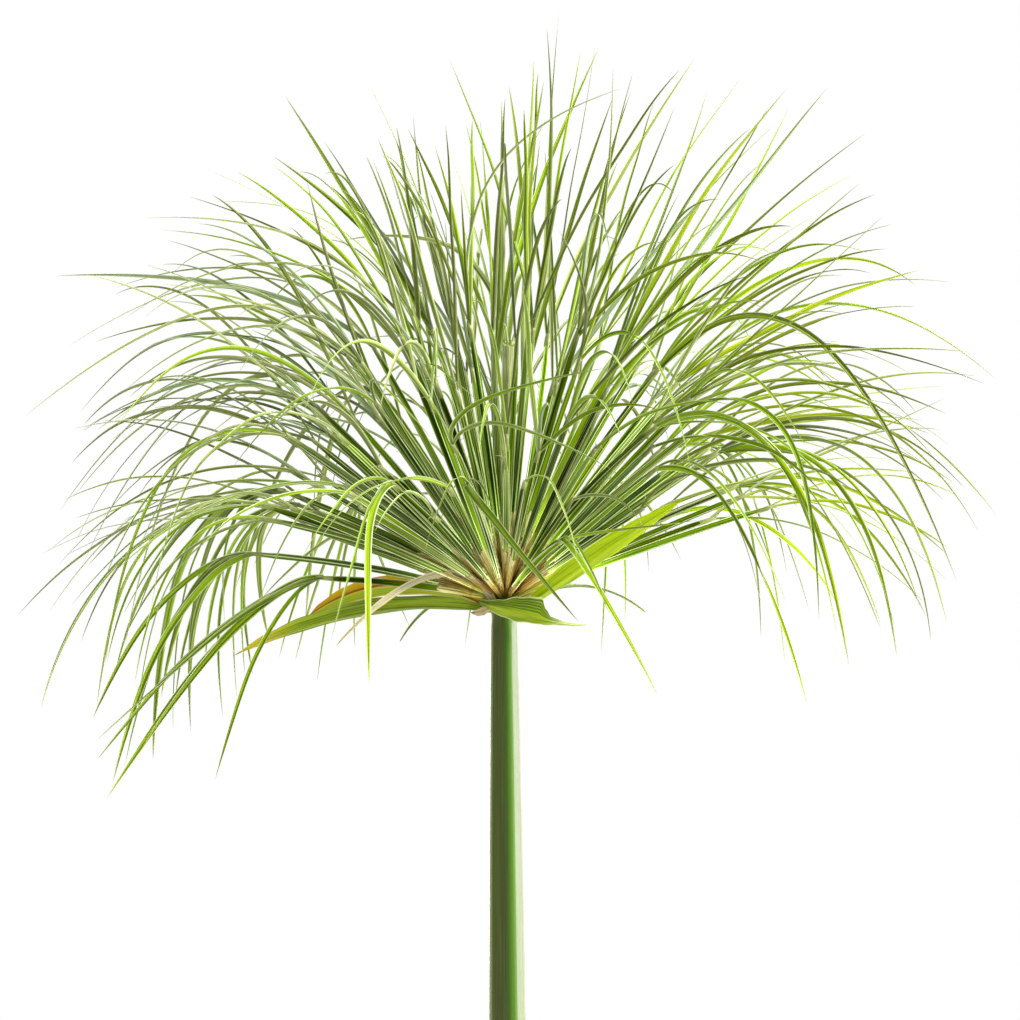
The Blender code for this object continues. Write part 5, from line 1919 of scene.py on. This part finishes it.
@dataclass
class InnerRays:
    """The rays past the solids' number: they fill the widest gaps between those, by rule."""

    culm: Culm
    count: int = 86
    seed: int = 29
    tries: int = 420
    reach: tuple[float, float] = (0.098, 0.136)
    stiff: float = 0.5
    sag: float = 0.045
    shorter: float = 0.88
    shortest: float = 0.050
    least_run: float = 0.080
    flat: float = 0.62
    front: float = -0.40
    base_depth: float = 0.0005
    widths: tuple[float, float] = (0.0016, 0.0031)
    splays: tuple[float, float] = (0.10, 0.40)
    runs: tuple[float, float] = (0.115, 0.185)
    falls: tuple[float, float] = (0.25, 0.95)
    bends: tuple[float, float] = (0.50, 0.68)
    spray_tries: int = 12

    def directions(self, taken: Sequence[Vector]) -> list[Vector]:
        """Directions that lie farthest from those that are taken.

        Args:
            taken: the directions of the rays that stand.

        Returns:
            As many new directions as there are inner rays.
        """
        chance = random.Random(self.seed)
        stand = [direction.normalized() for direction in taken]
        for _ in range(self.count):
            best, best_apart = None, -1.0
            for _ in range(self.tries):
                turn = chance.uniform(0.0, TURN)
                rise = math.asin(mix(0.36, 1.0, chance.random() ** 0.8))
                tried = Vector((*polar(math.cos(rise), turn), math.sin(rise)))
                apart = min(tried.angle(other) for other in stand)
                hides_leaf = tried.x > 0.30 and tried.y < -0.22 and tried.z < 0.80 * tried.x
                if apart > best_apart and not hides_leaf:
                    best, best_apart = tried, apart
            stand.append(best)
        return stand[len(taken):]

    def spray(self, fork: Vector, heading: Vector, count: int, widths: tuple[float, float],
              chance: random.Random) -> list[tuple[Bow, float]]:
        """Leaflets that spring from a fork and arch out and over, inside the outline.

        Args:
            fork: where they spring.
            heading: the way the stalk arrives there.
            count: how many are tried.
            widths: the range of their widths in metres.
            chance: where their differences come from.

        Returns:
            The curve and the width of each one that fits.
        """
        outward = Vector((fork.x - CROWN.x, fork.y - CROWN.y, 0.0)) / self.reach[1]
        aside = heading.orthogonal().normalized()
        first = chance.uniform(*ANY_TURN)
        leaflets = []
        for number in range(count):
            turn = first + TURN * number / count + chance.uniform(-0.4, 0.4)
            limits = (self.splays, self.runs, self.falls, self.bends, widths)
            splay, run, droop, bent, width = (chance.uniform(*ends) for ends in limits)
            lead = (heading + around(aside, heading.cross(aside), turn) * splay).normalized()
            while run > self.least_run:
                fall = UP * (-run * droop * (0.10 + outward.length))
                bow = Bow(fork, fork + lead * run * bent, fork + lead * run + fall + outward * run * 0.1)
                if all(inside_outline(point) for point in bow.points(8)[1:]):
                    leaflets.append((bow, width))
                    break
                run *= self.shorter
        return leaflets

    def plan(self, direction: Vector, chance: random.Random) -> RayPlan:
        """Curves for a ray in a direction, its leaflets arching out and over.

        Args:
            direction: the way it leaves the dome.
            chance: where its differences come from.

        Returns:
            The curves.
        """
        base = self.culm.dome_centre() + direction * (self.culm.dome_radius - self.base_depth)
        length = chance.uniform(*self.reach)
        level = math.hypot(direction.x, direction.y)
        fork = base + direction * length - UP * (self.sag * length * level)
        while not inside_outline(fork) and length > self.shortest:
            length *= self.shorter
            fork = base + direction * length - UP * (self.sag * length * level)
        plan = RayPlan(Bow(base, base + direction * length * self.stiff, fork), [])
        count = 2 if direction.z < self.flat else chance.choice((3, 3, 4))
        count -= 1 if direction.y < self.front else 0
        for _ in range(self.spray_tries):
            plan.leaflets = plan.leaflets or self.spray(fork, plan.heading(), count, self.widths, chance)
        return plan


@dataclass
class YoungRay:
    """A ray in the middle of the head that hasn't opened: a thick pale stalk with a blunt, slit end."""

    top: Spot = (2.0, 127.0, -34.0)
    base_reach: float = 0.0055
    widths: Stops = ((0.0, 0.0030), (0.6, 0.0042), (0.85, 0.0062), (1.0, 0.0060))
    wrap_radii: Spot = (0.0025, 0.0033, 0.0035)
    wrap_slant: float = 0.0006
    flap: float = 0.0030
    flaps: Stops = ((0.4, 1.0), (1.3, 2.6), (2.3, 0.8), (3.3, 4.2), (4.4, 1.2), (5.3, 3.0))
    seed: int = 77

    def build(self, maker: RayMaker) -> Piece:
        """Make the young ray: its stalk, the wrap of its end and the flaps that stand out of it.

        Args:
            maker: what makes the other rays.

        Returns:
            The piece.
        """
        chance, draft = random.Random(self.seed), Draft()
        top = seen_at(*self.top)
        base = CROWN + (top - CROWN).normalized() * self.base_reach
        bow = Bow(base, base.lerp(top, 0.5), top)
        line = replace(maker, stalk_widths=self.widths).stalk(draft, bow, 0.98, 0.16, chance)
        maker.sleeve(draft, line, (0.55, 1.0), self.wrap_radii, Skin.NODE, self.wrap_slant, 0.50, chance, 12)
        way = (line[-1] - line[-2]).normalized()
        for turn, reach in self.flaps:
            side = Quaternion(way, turn) @ way.orthogonal().normalized()
            start = top + side * 0.0014 - way * 0.003
            bend = start + way * self.flap * reach
            flap = Bow(start, bend, bend + side * 0.0010 * reach + way * 0.002)
            maker.leaflet(draft, flap, 0.0032 if reach < 2.0 else 0.0014, 0.9, 0.2, chance, 0.9)
        return draft.piece("young_ray", maker.materials)


# The studio


@dataclass(frozen=True)
class StudioFinish:
    """The floor's pale paint."""

    name: str = "studio_floor"
    colour: Colour = (0.52, 0.52, 0.51)
    cloudy: float = 0.97

    def material(self) -> Material:
        """Build the material.

        Returns:
            The material.
        """
        board = Board(self.name)
        share = board.span(board.speckle(3.0, 2.0), 0.3, 0.7, 0.0, 0.25)
        dim = tuple(part * self.cloudy for part in self.colour)
        return board.surface(board.blend(share, self.colour, dim), 0.75, 0.2)


@dataclass(frozen=True)
class Light:
    """A soft square light: where it stands, how high it points, its side, its watts and its colour."""

    name: str
    spot: Spot
    aim_height: float
    side: float
    power: float
    colour: Colour

    def build(self) -> None:
        """Stand the light in the studio."""
        lamp = bpy.data.lights.new(self.name, "AREA")
        lamp.shape, lamp.size, lamp.energy, lamp.color = "SQUARE", self.side, self.power, self.colour
        item = stand(self.name, lamp)
        item.location = self.spot
        aim = Vector((0.0, 0.0, self.aim_height)) - Vector(self.spot)
        item.rotation_euler = aim.to_track_quat("-Z", "Y").to_euler()


LIGHTS = (
    Light("sheen_light", (1.30, 1.90, 0.70), 0.60, 1.5, 24.0, (1.0, 0.99, 0.98)),
    Light("face_light", (1.95, 0.15, 0.70), 0.62, 1.4, 22.0, (1.0, 0.99, 0.98)),
    Light("back_light", (1.1, 1.6, 2.3), 0.85, 0.9, 125.0, (1.0, 0.985, 0.94)),
    Light("side_light", (1.7, -1.2, 1.9), 0.82, 0.7, 108.0, (1.0, 0.985, 0.95)),
    Light("rim_light", (-1.10, 1.90, 0.72), 0.62, 0.8, 34.0, (1.0, 0.98, 0.95)),
)


@dataclass
class Studio:
    """A pale round floor, a white surround, soft lights and a level camera."""

    distance: float = 1.70
    lens: float = 120.0
    sensor: float = 36.0
    farthest: float = 50.0
    floor_radius: float = 1.6
    floor_sides: int = 128
    floor_height: float = -0.0004
    front: float = 0.54
    back: float = 1.0

    def build(self) -> None:
        """Make the whole studio."""
        self.surround()
        self.floor()
        for light in LIGHTS:
            light.build()
        self.camera()

    def surround(self) -> None:
        """A white world, dimmer in front, and plain colours in the picture."""
        world = bpy.data.worlds.new("white_surround")
        world.use_nodes = True
        tree = world.node_tree
        kinds = ("TexCoord", "SeparateXYZ", "MapRange")
        direction, parts, ramp = (tree.nodes.new("ShaderNode" + kind) for kind in kinds)
        limits = {"From Min": -0.5, "From Max": 0.7, "To Min": self.front, "To Max": self.back}
        for name, number in limits.items():
            ramp.inputs[name].default_value = number
        tree.links.new(direction.outputs["Generated"], parts.inputs[0])
        tree.links.new(parts.outputs["Y"], ramp.inputs["Value"])
        tree.links.new(ramp.outputs["Result"], tree.nodes["Background"].inputs["Strength"])
        tree.nodes["Background"].inputs["Color"].default_value = (1.0, 1.0, 1.0, 1.0)
        bpy.context.scene.world = world
        bpy.context.scene.view_settings.view_transform = "Standard"

    def floor(self) -> None:
        """The round floor that the pot stands on."""
        draft = Draft()
        rim = (polar(self.floor_radius, TURN * side / self.floor_sides) for side in range(self.floor_sides))
        draft.face([draft.vertex(Vector((x, y, self.floor_height))) for x, y in rim])
        draft.piece("studio_floor", [StudioFinish().material()])

    def camera(self) -> None:
        """The level camera, at the crown's distance that the head's places are given for."""
        lens = bpy.data.cameras.new("portrait_camera")
        lens.lens, lens.sensor_width, lens.clip_end = self.lens, self.sensor, self.farthest
        item = stand("portrait_camera", lens)
        item.location = CROWN + Vector((EYE_SIDE * MM, -self.distance, EYE_RISE * MM))
        item.rotation_euler = (math.radians(90.0), 0.0, 0.0)
        bpy.context.scene.camera = item


@dataclass
class Plant:
    """The whole plant, put together from its sub-assemblies."""

    pot: ClayPot = field(default_factory=ClayPot)
    soil: PottingSoil = field(default_factory=PottingSoil)
    culm: Culm = field(default_factory=Culm)
    sheaths: tuple[BasalSheath, ...] = (
        BasalSheath("inner_husk", "basal_sheath_inner", 0.085, GAP, math.radians(200.0)),
        BasalSheath("outer_husk", "basal_sheath_outer", 0.042, GAP * 2.0 + BasalSheath.wall,
                    math.radians(20.0)),
    )
    more_above: float = 0.095
    more_widths: tuple[float, float] = (0.0014, 0.0026)
    more_seed: int = 300
    inner_seed: int = 500
    inner_look_seed: int = 900
    inner_facing: tuple[float, float] = (0.1, 0.9)
    inner_thinness: float = 0.96

    def build(self) -> None:
        """Make every piece and seat it."""
        place(self.pot.build(ClayFinish().material()), Slot.POT, "pot")
        place(self.soil.build(MIX_FINISH.material()), Slot.SOIL, "soil")
        place(self.soil.loose_bits([finish.material() for finish in BIT_FINISHES]), Slot.SOIL)
        place(self.culm.build(CulmFinish().material()), Slot.CULM, "culm")
        husk = HUSK_FINISH.material()
        for sheath in self.sheaths:
            place(sheath.build(self.culm, husk), Slot.HUSK, sheath.node)
        for bract in BRACTS:
            place(bract.build(), bract.slot, bract.name)
        for scale in SCALES:
            place(scale.build(), scale.slot)
        self.head()

    def head(self) -> None:
        """Make the rays: those of the solids with a few more leaflets, the inner ones and the young one."""
        maker = RayMaker([finish.material() for finish in RAY_FINISHES])
        planner, fillers = HeadPlanner(self.culm), InnerRays(self.culm)
        for number, plan in enumerate(planner.plan(RAYS, BRACTS), start=1):
            fork, chance = plan.stalk.end, random.Random(self.more_seed + number)
            more = 2 if fork.z > CROWN.z + self.more_above else 0
            plan.leaflets += fillers.spray(fork, plan.heading(), more, self.more_widths, chance)
            place(maker.build(f"ray_{number:02d}_dressed", plan, number), Slot.RAYS, f"ray_{number:02d}")
        taken = planner.spread(map(planner.start_direction, RAYS))
        for number, direction in enumerate(fillers.directions(taken), start=1):
            plan = fillers.plan(direction, random.Random(self.inner_seed + number))
            ray = maker.build(f"inner_ray_{number:02d}", plan, self.inner_look_seed + number,
                              self.inner_facing, self.inner_thinness)
            place(ray, Slot.RAYS)
        place(YoungRay().build(maker), Slot.RAYS)


def main() -> None:
    """Set up the studio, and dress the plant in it."""
    logging.basicConfig(level=logging.INFO, format="%(name)s %(message)s")
    Studio().build()
    Plant().build()


if __name__ == "__main__":
    main()
